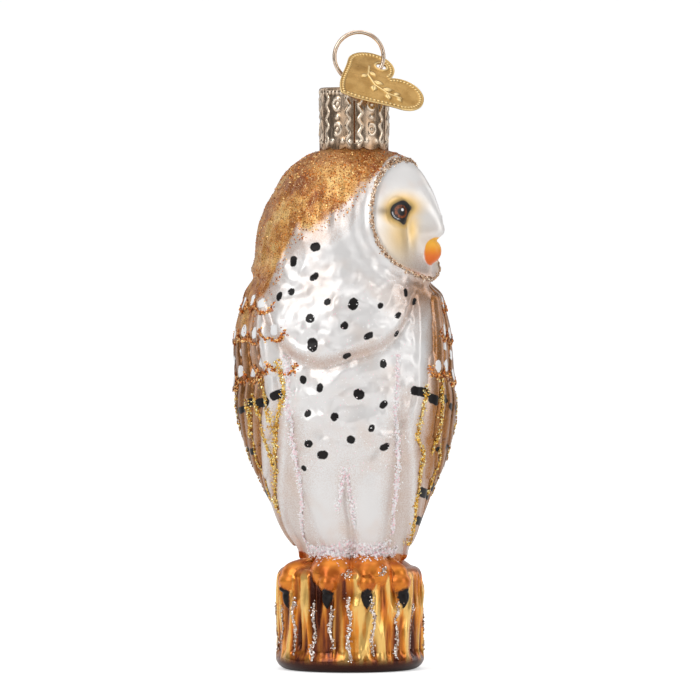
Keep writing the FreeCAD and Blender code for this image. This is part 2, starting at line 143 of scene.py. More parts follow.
# Stations of the body and head: height, left and right edge along X, front and back edge along Y.
BODY = (
    (20.6, -9.4, 10.4, -9.0, 9.8),
    (22.6, -9.6, 11.0, -10.0, 10.6),
    (26.5, -12.3, 13.3, -12.0, 12.8),
    (32.5, -16.2, 15.8, -14.1, 15.0),
    (39.3, -18.9, 18.2, -15.8, 16.8),
    (46.2, -20.6, 19.5, -16.8, 17.9),
    (55.3, -22.0, 20.0, -17.4, 18.6),
    (62.1, -22.3, 19.6, -17.5, 18.4),
    (68.0, -21.0, 18.4, -17.2, 17.6),
    (73.5, -19.0, 16.6, -16.4, 16.8),
    (78.1, -18.1, 16.3, -16.0, 16.3),
    (84.9, -17.0, 15.9, -15.4, 15.8),
    (89.5, -15.2, 14.8, -14.3, 14.6),
    (93.2, -13.0, 13.1, -12.6, 12.8),
    (96.0, -10.5, 11.4, -10.6, 10.8),
    (97.7, -7.9, 9.4, -8.4, 8.6),
    (98.5, NECK_X - NECK_RADIUS - 0.3, NECK_X + NECK_RADIUS + 0.3, -NECK_RADIUS - 0.3, NECK_RADIUS + 0.3),
)
BODY_FOOT = 20.4
COLUMNS = 480
ROW_PITCH = 0.27
STUMP_ROW_PITCH = 0.33
NECK_FOOT = 99.2
HEAD_INSIDE_TOP = 94.0
# Radius of the tiny ring that closes the underside, outside and inside.
PIN_HOLE = 0.05


def ring(height, radius, middle=0.0):
    """A round row: height, left and right edge, front and back edge."""
    return (height, middle - radius, middle + radius, -radius, radius)


def stump_rows():
    """From the middle of the underside round the drum's rounded side to the body's foot."""
    corner = STUMP_RADIUS - STUMP_ROUNDING
    shoulder = STUMP_HEIGHT - STUMP_ROUNDING
    rows = [ring(0.0, r) for r in np.linspace(PIN_HOLE, corner, 12)]
    for a in np.radians(np.linspace(8, 90, 10)):
        rows.append(ring(STUMP_ROUNDING * (1 - math.cos(a)), corner + STUMP_ROUNDING * math.sin(a)))
    for z in np.arange(STUMP_ROUNDING + 0.3, shoulder, STUMP_ROW_PITCH):
        rows.append(ring(z, STUMP_RADIUS))
    for a in np.radians(np.linspace(0, 86, 18)):
        rows.append(ring(shoulder + STUMP_ROUNDING * math.sin(a), corner + STUMP_ROUNDING * math.cos(a)))
    foot = np.array(BODY[0])
    edge = np.array(rows[-1])
    for t in np.linspace(0, 1, 18)[1:-1]:
        rows.append(tuple(edge + (foot - edge) * t))
    return rows


def body_rows():
    """The body's and head's stations joined by a smooth curve, in evenly spaced rows."""
    stations = np.array(BODY)
    radius = (stations[:, 2] - stations[:, 1]) / 2
    steps = np.hypot(np.diff(stations[:, 0]), np.diff(radius))
    along = np.concatenate(([0], np.cumsum(steps)))
    places = np.linspace(0, along[-1], int(along[-1] / ROW_PITCH))
    columns = [curve_through(list(zip(along, stations[:, k])), places) for k in range(5)]
    return [tuple(row) for row in np.array(columns).T]


def neck_rows():
    """The neck tube under the cap, up to its lip."""
    rows = [ring(z, NECK_RADIUS, NECK_X) for z in np.linspace(NECK_FOOT, NECK_TOP, 12)]
    rows.append(ring(NECK_TOP, NECK_RADIUS - WALL, NECK_X))
    return rows


def inner_rows(outer):
    """The inside of the glass: down the neck's bore and along the body, well inside every fold."""
    rows = [ring(z, NECK_RADIUS - WALL, NECK_X) for z in (NECK_TOP - 3, 104.0, 100.0, 96.5)]
    inset = 3 * WALL
    for z, left, right, front, back in outer[::-12]:
        if inset < z < HEAD_INSIDE_TOP and right - left > 4 * inset:
            rows.append((z - 0.4 * inset, left + inset, right - inset, front + inset, back - inset))
    rows.append(ring(WALL, STUMP_RADIUS - 2 * inset))
    rows.append(ring(WALL, PIN_HOLE))
    return rows


class Skin:
    """A closed sheet of glass as rows of columns: plain form, outward directions and design places."""

    def __init__(self):
        outer = stump_rows() + body_rows() + neck_rows()
        self.outer_rows = len(outer)
        rows = np.array(outer + inner_rows(outer))
        around = np.linspace(-math.pi, math.pi, COLUMNS, endpoint=False)
        z, left, right, front, back = (rows[:, k, None] for k in range(5))
        x = (left + right) / 2 + (right - left) / 2 * np.sin(around)
        y = np.where(np.cos(around) > 0, front, -back) * np.cos(around)
        self.plain = np.stack((x, y, np.broadcast_to(z, x.shape)), axis=-1)
        self.turn = np.broadcast_to(np.degrees(around), x.shape)
        self.height = self.plain[..., 2]
        self.radius = np.broadcast_to((right - left) / 2, x.shape)
        self.outside = np.broadcast_to(np.arange(len(rows))[:, None] < self.outer_rows - 2, x.shape)
        self.normal = self.directions(self.plain)

    @staticmethod
    def directions(points):
        """Unit normals from the neighbours along each row and column."""
        along = np.gradient(points, axis=0)
        around = np.roll(points, -1, axis=1) - np.roll(points, 1, axis=1)
        normal = np.cross(around, along)
        return normal / np.maximum(np.linalg.norm(normal, axis=-1, keepdims=True), 1e-9)

    def arc(self, degrees):
        """Degrees of turn as millimetres along the surface."""
        return np.radians(degrees) * self.radius


skin = Skin()
turn, height = skin.turn, skin.height
on_body = ramp(BODY_FOOT, BODY_FOOT + 1.2, height) * skin.outside

# ---------------------------------------------------------------- wings

# Lower edge of the breast's bib: turn and height.
BIB_EDGE = ((-180, 74), (-90, 75), (-62, 73), (-46, 68.6), (-29, 61.4), (-14, 58.8), (5, 60.2), (31, 65.2),
            (41, 69.6), (62, 73), (100, 75), (180, 74))

# Where each wing's leading edge runs: height and degrees from the front.
LEFT_LEAD = ((22, 76), (27, 70), (31, 60), (35, 53), (40, 46), (46, 41), (54, 35), (59, 37), (66, 40),
             (74, 46))
RIGHT_LEAD = ((22, 74), (27, 61), (31, 56), (35, 51), (40, 46), (46, 42), (54, 46), (59, 47), (66, 50),
              (74, 54))
LEAD_BAND = 7.0


class Tier(NamedTuple):
    """A tier of feathers, in millimetres and in degrees behind the leading edge.

    It has the height of its tips, their length and pitch, the first centre on the left and right wing, how
    far the tier lifts and each feather domes, the droop per degree and the step between neighbouring tips.
    """

    foot: float
    long: float
    pitch: float
    first_left: float
    first_right: float
    lift: float
    dome: float
    droop: float
    step: float


# Lowest first.
FLIGHT_TIERS = (
    Tier(23.6, 22.0, 13.0, 5.0, 5.0, 0.0, 0.70, 0.0, 1.2),
    Tier(36.3, 16.0, 12.0, 8.0, 8.0, 0.42, 0.75, 0.0, 1.4),
    Tier(43.9, 15.0, 11.0, 5.5, 5.5, 0.85, 0.75, -0.02, -1.3),
)
COVERT_TIERS = (
    Tier(56.0, 14.0, 12.5, 2.0, 10.0, 1.30, 0.85, -0.07, 0.9),
    Tier(62.2, 7.5, 13.5, 4.5, 18.0, 1.62, 0.75, -0.01, -0.5),
    Tier(67.2, 7.0, 13.5, 10.0, 24.5, 1.85, 0.65, 0.0, 0.5),
)
LAST_FEATHER = 139
# How far the wing's panel stands over the body, how far the floor between feathers lies under its tier's
# foot, and a crease's width as a share of half a feather.
PANEL_LIFT = 0.85
VALLEY_DROP = 0.15
CREASE_WIDTH = 0.22
# Stands for further off than any feather, toe or claw.
FAR = 9.0


def behind_lead():
    """Degrees behind the nearer wing's leading edge; negative towards the breast."""
    left = -turn - curve_through(LEFT_LEAD, height)
    right = turn - curve_through(RIGHT_LEAD, height)
    return np.where(turn < 0, left, right)


def feathers(tiers):
    """(side, tier, degrees behind the leading edge, foot height) of each feather; side is -1 on the left."""
    for side, tier in itertools.product((-1, 1), tiers):
        first = tier.first_left if side < 0 else tier.first_right
        for i in range(int((LAST_FEATHER - first) / tier.pitch) + 1):
            centre = first + i * tier.pitch
            yield side, tier, centre, tier.foot + tier.step * (i % 2) + tier.droop * centre


def finger(behind, tier, centre, foot):
    """How far inside one round-ended feather a point lies, as a share of its half width."""
    half_pitch = tier.pitch / 2
    half = np.radians(half_pitch) * skin.radius
    across = np.abs(behind - centre) / half_pitch * half
    below = np.maximum(foot + 0.9 * half - height, 0)
    above = np.maximum(height - (foot + tier.long), 0)
    return 1 - np.hypot(across, np.maximum(below * 1.1, above)) / half


def inside_feathers(behind, tier):
    """How far inside the nearest feather of a tier each point lies."""
    inside = np.full_like(height, -FAR)
    for side, _, centre, foot in feathers((tier,)):
        nearer = np.maximum(inside, finger(behind, tier, centre, foot))
        inside = np.where(turn * side > 0, nearer, inside)
    return inside


def wing_relief(behind, on_wing):
    """Raised wing panels with their tiers of feathers, and how near a crease each point lies."""
    relief = np.zeros_like(height)
    crease = np.zeros_like(height)
    valley = np.zeros_like(height)
    for tier in FLIGHT_TIERS + COVERT_TIERS:
        inside = inside_feathers(behind, tier)
        raised = (tier.lift + tier.dome * round_over(inside)) * ramp(0.0, 0.24, inside)
        crease = np.where(raised > relief, np.exp(-np.clip(inside, 0, 1) / CREASE_WIDTH), crease)
        relief = np.maximum(relief, raised)
        foot = tier.foot + tier.droop * behind
        valley = np.maximum(valley, (tier.lift - VALLEY_DROP) * ramp(1.5, 4.5, height - foot))
    relief = np.maximum(relief, valley)
    fade = ramp(-6.0, np.where(turn < 0, 4, 14), behind) * ramp(76.5, 70, height)
    return on_wing * (PANEL_LIFT + relief * fade), crease * fade * on_wing


over_bib = height - curve_through(BIB_EDGE, turn)
behind = behind_lead()
on_wing = ramp(-LEAD_BAND - 2.5, -LEAD_BAND + 1.5, behind) * ramp(1.2, -1.0, over_bib) * on_body
wing_height, wing_crease = wing_relief(behind, on_wing)

# ---------------------------------------------------------------- where the face and hood lie

FACE_TURN = 65.0
FACE_HEIGHT = 85.4
FACE_HALF_TURN = 50.0
FACE_HALF_HEIGHT = 11.3
# Roundness of the disc's upper and lower half: 2 is an ellipse, and more is squarer.
FACE_CORNERS = (2.5, 2.0)
HEAD_RADIUS = 17.0


def face_place(degrees, z):
    """Millimetres across and up from the face's middle, and the distance to its rim (negative inside)."""
    off = degrees - FACE_TURN
    off = np.where(off < -180, off + 360, off)
    across = np.radians(off) * HEAD_RADIUS
    up = z - FACE_HEIGHT
    corner = np.where(up > 0, *FACE_CORNERS)
    share = (np.abs(off / FACE_HALF_TURN) ** corner + np.abs(up / FACE_HALF_HEIGHT) ** corner) ** (1 / corner)
    reach = np.hypot(across, up)
    return across, up, reach * (1 - 1 / np.maximum(share, 0.05))


face_x, face_z, rim = face_place(turn, height)

# Lower edge of the copper hood over the crown and nape: turn and height.
HOOD_EDGE = ((-180, 60), (-95, 62), (-72, 64), (-56, 67), (-47, 74), (-42, 80), (-27, 84), (-4, 87.8),
             (7, 91.2), (15, 93.2), (26, 93.8), (60, 94.2), (105, 93), (122, 86), (135, 74), (180, 60))
over_hood = height - curve_through(HOOD_EDGE, turn)

# ---------------------------------------------------------------- breast, legs and head

# Turns of the legs' outer edges and of the furrow between them.
LEG_SIDES = (-31, 29)
FURROW_TURN = -1.5
THIGH_HALF_PITCH = 4.4
# Cells of the noise in the breast, in the down and in the bib's edge, in millimetres.
DIMPLE_CELL = (4.6, 4.6, 3.9)
PUCKER_CELL = (2.5, 2.5, 2.1)
FOLD_CELL = (5.2, 5.2, 4.2)
DOWN_STROKE_CELL = (1.0, 1.0, 3.4)
DOWN_TUFT_CELL = (2.2, 2.2, 3.0)
BIB_WAVE_CELL = (5, 5, 40)


def bib_relief():
    """The breast feathers as a soft apron that overhangs the belly."""
    above = over_bib - 0.9 * soft_noise(skin.plain, BIB_WAVE_CELL, 71)
    front = bell(turn, 62)
    apron = 1.25 * ramp(-0.9, 1.5, above) * ramp(17, 4, above)
    tuck = -0.45 * bell(above + 1.5, 1.0)
    return (apron + tuck) * front * on_body, above


def crumple():
    """Uneven dimples pressed into the breast and belly."""
    points = skin.plain
    broad = smooth_noise(points, DIMPLE_CELL, 3)
    fine = smooth_noise(points + 2 * broad[..., None], PUCKER_CELL, 5)
    folds = 1 - 2.2 * np.abs(smooth_noise(points, FOLD_CELL, 8))
    front = ramp(72, 40, np.abs(turn + 2))
    tall = ramp(37, 44, height) * ramp(86, 70, height)
    return (0.46 * broad + 0.30 * fine + 0.40 * folds) * front * tall * on_body


def leg_relief():
    """Two full thighs with a furrow between them."""
    low = ramp(41, 33, height) * on_body
    middle = skin.arc(turn - FURROW_TURN)
    thighs = bell(middle + THIGH_HALF_PITCH, 3.6) + bell(middle - THIGH_HALF_PITCH, 3.6)
    furrow = bell(middle, 0.75)
    edges = sum(bell(skin.arc(turn - side), 0.8) for side in LEG_SIDES) * ramp(60, 54, height)
    return low * (thighs - 0.8 * furrow) - 0.35 * edges * on_body


def down_texture():
    """Fine upright strokes of down over the crown, nape and back."""
    points = skin.plain
    strokes = soft_noise(points, DOWN_STROKE_CELL, 21) * 0.16
    strokes = strokes + soft_noise(points, DOWN_TUFT_CELL, 22) * 0.22
    zone = ramp(-5, 2, over_hood) * ramp(0.0, 2.0, rim) * on_body
    return strokes * (0.15 + 0.85 * zone) * ramp(64, 70, height) * ramp(99, 97.4, height)


# Tail feathers, the outer ones first: place across the fan in degrees, and foot height.
TAIL = ((-27, 25.0), (27, 25.0), (-15, 23.6), (15, 23.6), (0, 22.4))
TAIL_HALF = 5.2
TAIL_CROWDING = 0.6


def tail_relief():
    """Tail feathers that show below the crossed wing tips, resting over the stump's back."""
    back = np.where(turn > 0, turn - 180, turn + 180)
    relief = np.zeros_like(height)
    for centre, foot in TAIL:
        across = skin.arc(back - TAIL_CROWDING * centre) * 1.25
        below = np.maximum(foot + 0.8 * TAIL_HALF - height, 0)
        inside = 1 - np.hypot(across, below) / (TAIL_HALF * 0.62)
        lift = 2.2 - 0.035 * abs(centre)
        relief = np.maximum(relief, (lift + 0.5 * round_over(inside)) * ramp(0, 0.12, inside))
    return relief * ramp(46, 33, height) * on_body


# ---------------------------------------------------------------- face

EYE_TURN = 27.8
EYE_HEIGHT = 86.7
EYE_RADIUS = 2.9
EYE_STRETCH = 1.3
EYE_UP = EYE_HEIGHT - FACE_HEIGHT
EYE_ACROSS = math.radians(EYE_TURN) * HEAD_RADIUS
BEAK_HEIGHT = 79.4
BEAK_HALF = (1.9, 2.6)
BEAK_CORNER = 2.6
BEAK_TOP = 81.9
# How far the ridge between the eyes stands out of the head: height and depth.
RIDGE = ((73.5, 0.0), (76.5, 0.7), (79.5, 1.3), (81.5, 2.3), (82.5, 3.7), (84.5, 3.8), (87.5, 3.2), (91, 2.6),
         (94.0, 1.9), (96.5, 0.2))


def ellipse(across, up, centre, half):
    """Share of the way out to an ellipse's edge on the face."""
    return np.hypot((across - centre[0]) / half[0], (up - centre[1]) / half[1])


def face_relief():
    """A raised rim round a dished disc, the brow ridge down to the beak, and two eyes."""
    inside = ramp(0.6, -0.8, rim) * on_body
    edge = 0.55 * bell(rim, 0.85) + 0.35 * bell(rim - 3.6, 1.3) * ramp(95, 90, height)
    dish = -0.35 * inside * ramp(0, -5, rim)
    wide = 2.6 + 3.4 * ramp(83, 93, height)
    ridge = curve_through(RIDGE, height) * bell(face_x, wide)
    relief = edge * ramp(BODY_FOOT, 30, height) + dish + ridge * inside
    for side in (-1, 1):
        eye = ellipse(face_x, face_z, (side * EYE_ACROSS, EYE_UP), (EYE_RADIUS, EYE_RADIUS))
        ball = (0.55 - 0.25 * side) * np.sqrt(np.clip(1 - eye**2, 0, 1))
        relief = np.where(eye < 1, soft_max(relief, relief + ball - 0.1, 0.25), relief)
        fold = ellipse(face_x, face_z, (side * EYE_ACROSS * 0.72, EYE_UP - 3.2), (1.1, 4.2))
        relief = relief - 0.35 * bell(fold, 0.8) * inside
    return relief, inside


def beak_relief():
    """A short rounded beak under the ridge."""
    across = np.abs(face_x / BEAK_HALF[0])
    up = np.abs((height - BEAK_HEIGHT) / BEAK_HALF[1])
    out = (across**BEAK_CORNER + up**BEAK_CORNER) ** (1 / BEAK_CORNER)
    return 2.9 * np.clip(1 - out**2.2, 0, 1) ** 0.62, out


# ---------------------------------------------------------------- stump and feet

# Bark: cell of the sideways sway, how little height counts, which draws the ridges out, and both widths.
BARK_SWAY_CELL = (6, 6, 7)
BARK_HEIGHT_SHARE = 0.13
BROAD_RIDGE = 3.1
NARROW_RIDGE = 1.25
# Turn and width of each toe in front.
TOES = ((-60, 3.7), (-18, 2.7), (13, 2.7), (45, 3.3))
CLAW_TOP, CLAW_FOOT = 16.0, 11.9
CLAW_HALF = 1.5
FOOT_TURNS = (-20, 20)
FOOT_BLEND = 0.35


def bark_relief():
    """Uneven upright ridges round the stump, and how high each point lies on its ridge."""
    angle = np.radians(turn)
    sway = 0.9 * soft_noise(skin.plain, BARK_SWAY_CELL, 31)
    x, y = STUMP_RADIUS * np.sin(angle), -STUMP_RADIUS * np.cos(angle)
    ring_points = np.stack((x, y, BARK_HEIGHT_SHARE * height + sway), axis=-1)
    broad = 1 - 2 * np.abs(soft_noise(ring_points, BROAD_RIDGE, 33))
    narrow = 1 - 2 * np.abs(soft_noise(ring_points, NARROW_RIDGE, 35))
    upright = ramp(1.8, 4.0, height) * ramp(19.4, 17.0, height) * (skin.radius > 12.5) * skin.outside
    return (0.55 * (broad - 1) + 0.42 * (narrow - 1)) * upright, (0.55 * broad + 0.45 * narrow)


def reach_ellipsoid(centre, radii, toward):
    """How far out along each normal the surface of an ellipsoid lies, and below zero where there is none."""
    side = np.array((-toward[1], toward[0], 0.0))
    axes = np.array((toward, side, (0, 0, 1.0)))
    start = (skin.plain - centre) @ axes.T / radii
    way = skin.normal @ axes.T / radii
    a = np.sum(way * way, axis=-1)
    b = np.sum(start * way, axis=-1)
    c = np.sum(start * start, axis=-1) - 1
    inside_root = b * b - a * c
    reach = (-b + np.sqrt(np.maximum(inside_root, 0))) / np.maximum(a, 1e-9)
    return np.where(inside_root > 0, reach, -FAR)


def out_direction(degrees):
    """The level direction straight out from the axis at a turn."""
    angle = math.radians(degrees)
    return np.array((math.sin(angle), -math.cos(angle), 0.0))


def foot_parts():
    """(direction, centre, radii) of the ellipsoids: each toe's tip and root, and each foot's dome."""
    for degrees, wide in TOES:
        toward = out_direction(degrees)
        yield toward, toward * 12.9 + (0, 0, 17.0), (2.4, 0.72 * wide, 2.1)
        yield toward, toward * 10.0 + (0, 0, 18.6), (4.6, 0.86 * wide, 2.5)
    for degrees in FOOT_TURNS:
        toward = out_direction(degrees)
        yield toward, toward * 9.6 + (0.2, 0, 18.6), (5.0, 4.5, 4.0)


def feet_relief(relief):
    """Feet and toes that sit on the stump and curl over its rim."""
    near = (height > 12) & (height < 24.5) & skin.outside & (skin.radius > 8.5)
    for toward, centre, radii in foot_parts():
        part = reach_ellipsoid(centre, np.array(radii), toward)
        relief = np.where(near & (part > -4), soft_max(relief, part, FOOT_BLEND), relief)
    return relief


def claw_share(degrees):
    """Share of the way out to a claw's pointed outline on the stump's side."""
    down = np.clip((CLAW_TOP - height) / (CLAW_TOP - CLAW_FOOT), 0, 1)
    half = CLAW_HALF * np.sqrt(np.clip(1 - down, 0.02, 1))
    across = np.radians(turn - degrees) * STUMP_RADIUS
    middle = (CLAW_TOP + CLAW_FOOT) / 2
    return np.hypot(across / half, (height - middle) / ((CLAW_TOP - CLAW_FOOT) / 2))


def claws():
    """Claws standing out of the stump's side, and the share of the way out to the nearest one's edge."""
    on_side = (skin.radius > 12) & skin.outside & (height < 19)
    share = np.minimum.reduce([claw_share(degrees) for degrees, _ in TOES])
    share = np.where(on_side, np.minimum(share, FAR), FAR)
    return 1.2 * np.sqrt(np.clip(1 - share**2, 0, 1)), share


# ---------------------------------------------------------------- put the figure together


def glass_points():
    """All relief added to the plain form, and the fields that the paint follows."""
    fields = {}
    bib, fields["bib_above"] = bib_relief()
    # The wings lie in the body's sides, deepest over the coverts, and ease out at the left shoulder.
    sunk = 2.05 + 1.15 * ramp(50, 58, height) - 1.2 * ramp(69.5, 73.5, height) * (turn < 0)
    sunk = sunk * ramp(-8, 26, behind) * on_wing
    relief = bib + (crumple() + leg_relief()) * (1 - on_wing)
    relief = relief + wing_height - sunk + down_texture()
    relief = relief + 0.5 * tail_relief() * (1 - 0.3 * on_wing)
    face, fields["on_face"] = face_relief()
    relief = relief * (1 - fields["on_face"]) + face
    beak, fields["beak_share"] = beak_relief()
    relief = soft_max(relief, beak - 0.15, 0.2) * (beak > 0) + relief * (beak <= 0)
    bark, fields["bark"] = bark_relief()
    bare = relief + bark
    relief = feet_relief(bare)
    fields["foot"] = ramp(0.1, 0.6, relief - bare)
    claw, fields["claw_share"] = claws()
    relief = (relief + claw) * skin.outside
    fields["relief"] = relief
    return skin.plain + skin.normal * relief[..., None], fields


points, fields = glass_points()


def grid_faces(rows, columns):
    """Quads of a grid whose columns close on themselves."""
    here = np.arange(rows * columns).reshape(rows, columns)
    across = np.roll(here, -1, axis=1)
    return np.stack((here[:-1], across[:-1], across[1:], here[1:]), axis=-1).reshape(-1, 4)


def add_object(name, data):
    """A new object in the scene."""
    made = bpy.data.objects.new(name, data)
    bpy.context.scene.collection.objects.link(made)
    return made


def new_mesh(name, verts_mm, faces, attributes, smooth=True):
    """A mesh object from points in millimetres, with a number on each point for every attribute."""
    mesh = bpy.data.meshes.new(name)
    faces = [list(map(int, f)) for f in faces]
    mesh.from_pydata([tuple(v) for v in np.asarray(verts_mm) * MM], [], faces)
    for key, values in attributes.items():
        layer = mesh.attributes.new(key, "FLOAT", "POINT")
        layer.data.foreach_set("value", np.ascontiguousarray(values, dtype=np.float32).ravel())
    mesh.polygons.foreach_set("use_smooth", [smooth] * len(mesh.polygons))
    mesh.validate()
    mesh.update()
    return add_object(name, mesh)


def take_place(piece, material, node, body):
    """Puts a piece in the place of a CAD node, with its material in a slot, riding a body."""
    piece.data.materials.append(material)
    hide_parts(node)
    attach(piece, body)


flat = points.reshape(-1, 3)
outer_count = skin.outer_rows * COLUMNS
outer_faces = grid_faces(skin.outer_rows, COLUMNS)
glass_tree = BVHTree.FromPolygons(
    [tuple(v) for v in flat[:outer_count]], [tuple(map(int, f)) for f in outer_faces]
)


# Rays start this far from the axis, well outside the figure.
RAY_START = 60


def cast_front(x, z):
    """The point and outward direction of the glass seen from the front at x and z."""
    spot, normal, _, _ = glass_tree.ray_cast(Vector((x, -RAY_START, z)), Vector((0, 1, 0)))
    return facing(spot, normal, Vector((0, -1, 0)))


def cast_turn(degrees, z):
    """The point and outward direction of the glass at a turn and height."""
    way = Vector(out_direction(degrees))
    spot, normal, _, _ = glass_tree.ray_cast(Vector((0, 0, z)) + way * RAY_START, -way)
    return facing(spot, normal, way)


def facing(spot, normal, outward):
    """A ray's hit with its normal turned outward, or None where it missed."""
    if spot is None:
        return None
    if normal.dot(outward) < 0:
        normal = -normal
    return np.array(spot), np.array(normal)


# ---------------------------------------------------------------- painted marks


# A mark's distance is worked out this far past its edge; anywhere else counts as far away.
MARK_REACH = 2.5
MARK_FAR = 5.0


class Marks:
    """Distance in millimetres from every point of the glass to the nearest painted mark."""

    def __init__(self):
        self.field = np.full(len(flat), MARK_FAR)

    def stroke(self, start, end, radius):
        """A round-ended stroke from start to end."""
        reach = radius + MARK_REACH
        low = np.minimum(start, end) - reach
        high = np.maximum(start, end) + reach
        near = np.flatnonzero(np.all((flat > low) & (flat < high), axis=1))
        line = end - start
        length = max(float(line @ line), 1e-9)
        along = np.clip((flat[near] - start) @ line / length, 0, 1)
        away = np.linalg.norm(flat[near] - start - along[:, None] * line, axis=1) - radius
        self.field[near] = np.minimum(self.field[near], away)

    def spot(self, place, radius, lean=0.0, long=0.0):
        """A round or oval spot, drawn as a short stroke leaning from upright."""
        centre = place[0]
        half = np.array((math.sin(math.radians(lean)), 0, math.cos(math.radians(lean)))) * long
        self.stroke(centre - half, centre + half, radius)


# Black spots of the breast seen from the front: x, height, radius, lean and half length.
BREAST_SPOTS = (
    (-6.5, 80.2, 0.80, 80, 0.25), (-10.6, 77.5, 0.72, 0, 0.35), (-6.7, 74.6, 0.62, 60, 0.45),
    (-11.0, 71.8, 0.66, 0, 0.15), (-13.3, 70.9, 0.60, 10, 0.35), (-4.2, 69.9, 0.68, 0, 0.05),
    (0.6, 69.5, 0.95, 10, 0.25), (5.7, 69.2, 0.50, 40, 0.25), (10.5, 71.6, 0.45, -10, 0.35),
    (12.0, 69.9, 0.40, 15, 0.30), (9.0, 67.4, 0.52, 45, 0.25), (-7.5, 66.8, 0.85, 0, 0.10),
    (-1.0, 65.5, 0.70, 50, 0.15), (3.5, 63.6, 0.62, 65, 0.45), (8.7, 64.0, 0.58, 15, 0.10),
    (-7.0, 61.9, 1.00, 0, 0.35), (-0.6, 59.9, 0.72, 40, 0.20), (6.2, 58.3, 0.72, 0, 0.10),
    (-8.8, 55.3, 0.70, 0, 0.10), (-5.7, 53.8, 0.66, 20, 0.25), (1.7, 52.6, 1.00, -40, 0.15),
    (6.3, 50.7, 0.66, 40, 0.25), (-7.9, 49.0, 0.62, 40, 0.15), (-2.9, 48.4, 0.78, 0, 0.05),
    (4.1, 46.2, 0.60, 30, 0.15), (0.2, 44.1, 0.78, 0, 0.15), (-7.8, 43.3, 0.70, 80, 0.20),
    (6.5, 42.7, 0.66, 60, 0.40), (-5.1, 41.2, 0.85, 80, 0.25), (-8.7, 38.6, 0.48, -60, 0.20),
)
# Rows of black bars over the flight feathers: height, droop per degree and degrees behind the leading edge.
BAR_ROWS = (
    (52.6, -0.075, (-1, 9, 20, 31, 43, 55, 68, 82, 96, 110)),
    (43.2, -0.040, (24, 36, 48, 60, 74, 88, 102)),
    (33.2, 0.030, (6, 17, 32, 48, 64, 80)),
    (28.0, 0.060, (5, 15, 27, 40, 54)),
)
LEFT_BARS_BACK = 7.0
# Degrees behind the leading edge of the last dots, and of the first dot of the high row.
LAST_DOT = 128
FIRST_HIGH_DOT = 10
TIP_DOT = {"radius": 0.731, "long": 0.387}
HIGH_DOT = {"radius": 0.578, "long": 0.306}


def wing_turn(side, degrees_behind, z):
    """The turn of the place so many degrees behind a wing's leading edge; side is -1 for the left wing."""
    return side * (curve_through(LEFT_LEAD if side < 0 else RIGHT_LEAD, z) + degrees_behind)


def wing_point(side, degrees_behind, z):
    """The point and outward direction of the glass behind a wing's leading edge."""
    return cast_turn(wing_turn(side, degrees_behind, z), z)


def paint_bars(marks):
    """Bars over the flight feathers, each a little different in place, length and width."""
    for side, (z0, droop, places) in itertools.product((-1, 1), BAR_ROWS):
        for k, place in enumerate(places):
            place += LEFT_BARS_BACK * (side < 0)
            z = z0 + droop * place + 0.45 * math.sin(2.7 * k + z0)
            wide = 2.7 + 1.2 * math.sin(3.1 * k + side)
            start = wing_point(side, place - wide, z + 0.2)
            end = wing_point(side, place + wide, z - 0.25)
            marks.stroke(start[0], end[0], 0.78 + 0.18 * math.sin(5.3 * k + z0))


def ink_marks():
    """Breast spots and wing bars."""
    marks = Marks()
    for x, z, radius, lean, long in BREAST_SPOTS:
        marks.spot(cast_front(x, z), radius, lean, long)
    paint_bars(marks)
    return marks.field


def dot_marks():
    """A white dot near the tip of each covert feather, and a second one higher on the long ones."""
    marks = Marks()
    for side, tier, centre, foot in feathers(COVERT_TIERS):
        if centre >= LAST_DOT:
            continue
        marks.spot(wing_point(side, centre, foot + 2.5), **TIP_DOT)
        if tier is COVERT_TIERS[0] and centre > FIRST_HIGH_DOT:
            marks.spot(wing_point(side, centre - 1.5, foot + 6.2), **HIGH_DOT)
    return marks.field


def eye_fields():
    """Distances to each painted part of both eyes, and the yellow blush and painted shadow round them."""
    out = {}
    up = face_z - EYE_UP
    across = (EYE_ACROSS - np.abs(face_x)) / EYE_STRETCH

    def circle(centre_across, centre_up, radius):
        return np.hypot(across - centre_across, up - centre_up) - radius

    body = circle(0.05, 0.05, 1.75)
    for part in (circle(2.15, 0.75, 0.32), circle(0.75, -1.75, 0.55), circle(1.0, 1.15, 1.0)):
        body = -soft_max(-body, -part, 0.9)
    out["eye_outline"] = body
    out["eye_iris"] = circle(0.2, 0.1, 1.22)
    out["eye_pupil"] = circle(0.25, 0.05, 0.72)
    out["eye_glint"] = circle(0.45, 0.42, 0.27)
    out["eye_crescent"] = np.maximum(np.abs(circle(0.15, 0.1, 1.52)) - 0.10, circle(-1.1, -1.0, 1.1))
    beyond = np.maximum(body, 0)
    lower = 0.75 * bell(ellipse(across, up, (0.2, -4.2), (3.2, 5.4)), 0.95)
    toward_beak = 0.85 * bell(ellipse(across, up, (2.6, -3.2), (1.2, 4.4)), 1.0)
    out["blush"] = np.maximum.reduce((bell(beyond, 1.5), lower, toward_beak)) * fields["on_face"]
    # Painted shadow at the outer corner of each eye and in a thin ring round its outline.
    corner = 0.75 * bell(ellipse(across, up, (-2.6, 0.3), (1.6, 0.9)), 0.9)
    out["eye_shadow"] = np.maximum(corner, 0.8 * bell(beyond, 0.42)) * fields["on_face"]
    return out


# The paint spreads evenly to both sides of this turn.
BREAST_TURN = -4
from_breast = np.abs(turn - BREAST_TURN)


def wing_tan_and_shade():
    """Tan behind the wings' pale leading edges, with painted shade in their creases and low along the edge
    itself.
    """
    pale = np.where(turn < 0, 9, 1)
    aft = ramp(pale - 6, pale + 7, behind) * on_wing
    low_edge_shade = 0.75 * bell(behind + 1.0, 4.5) * on_wing * ramp(58, 40, height)
    return np.maximum(0.95 * aft + 0.9 * wing_crease * ramp(-4, 8, behind), low_edge_shade)


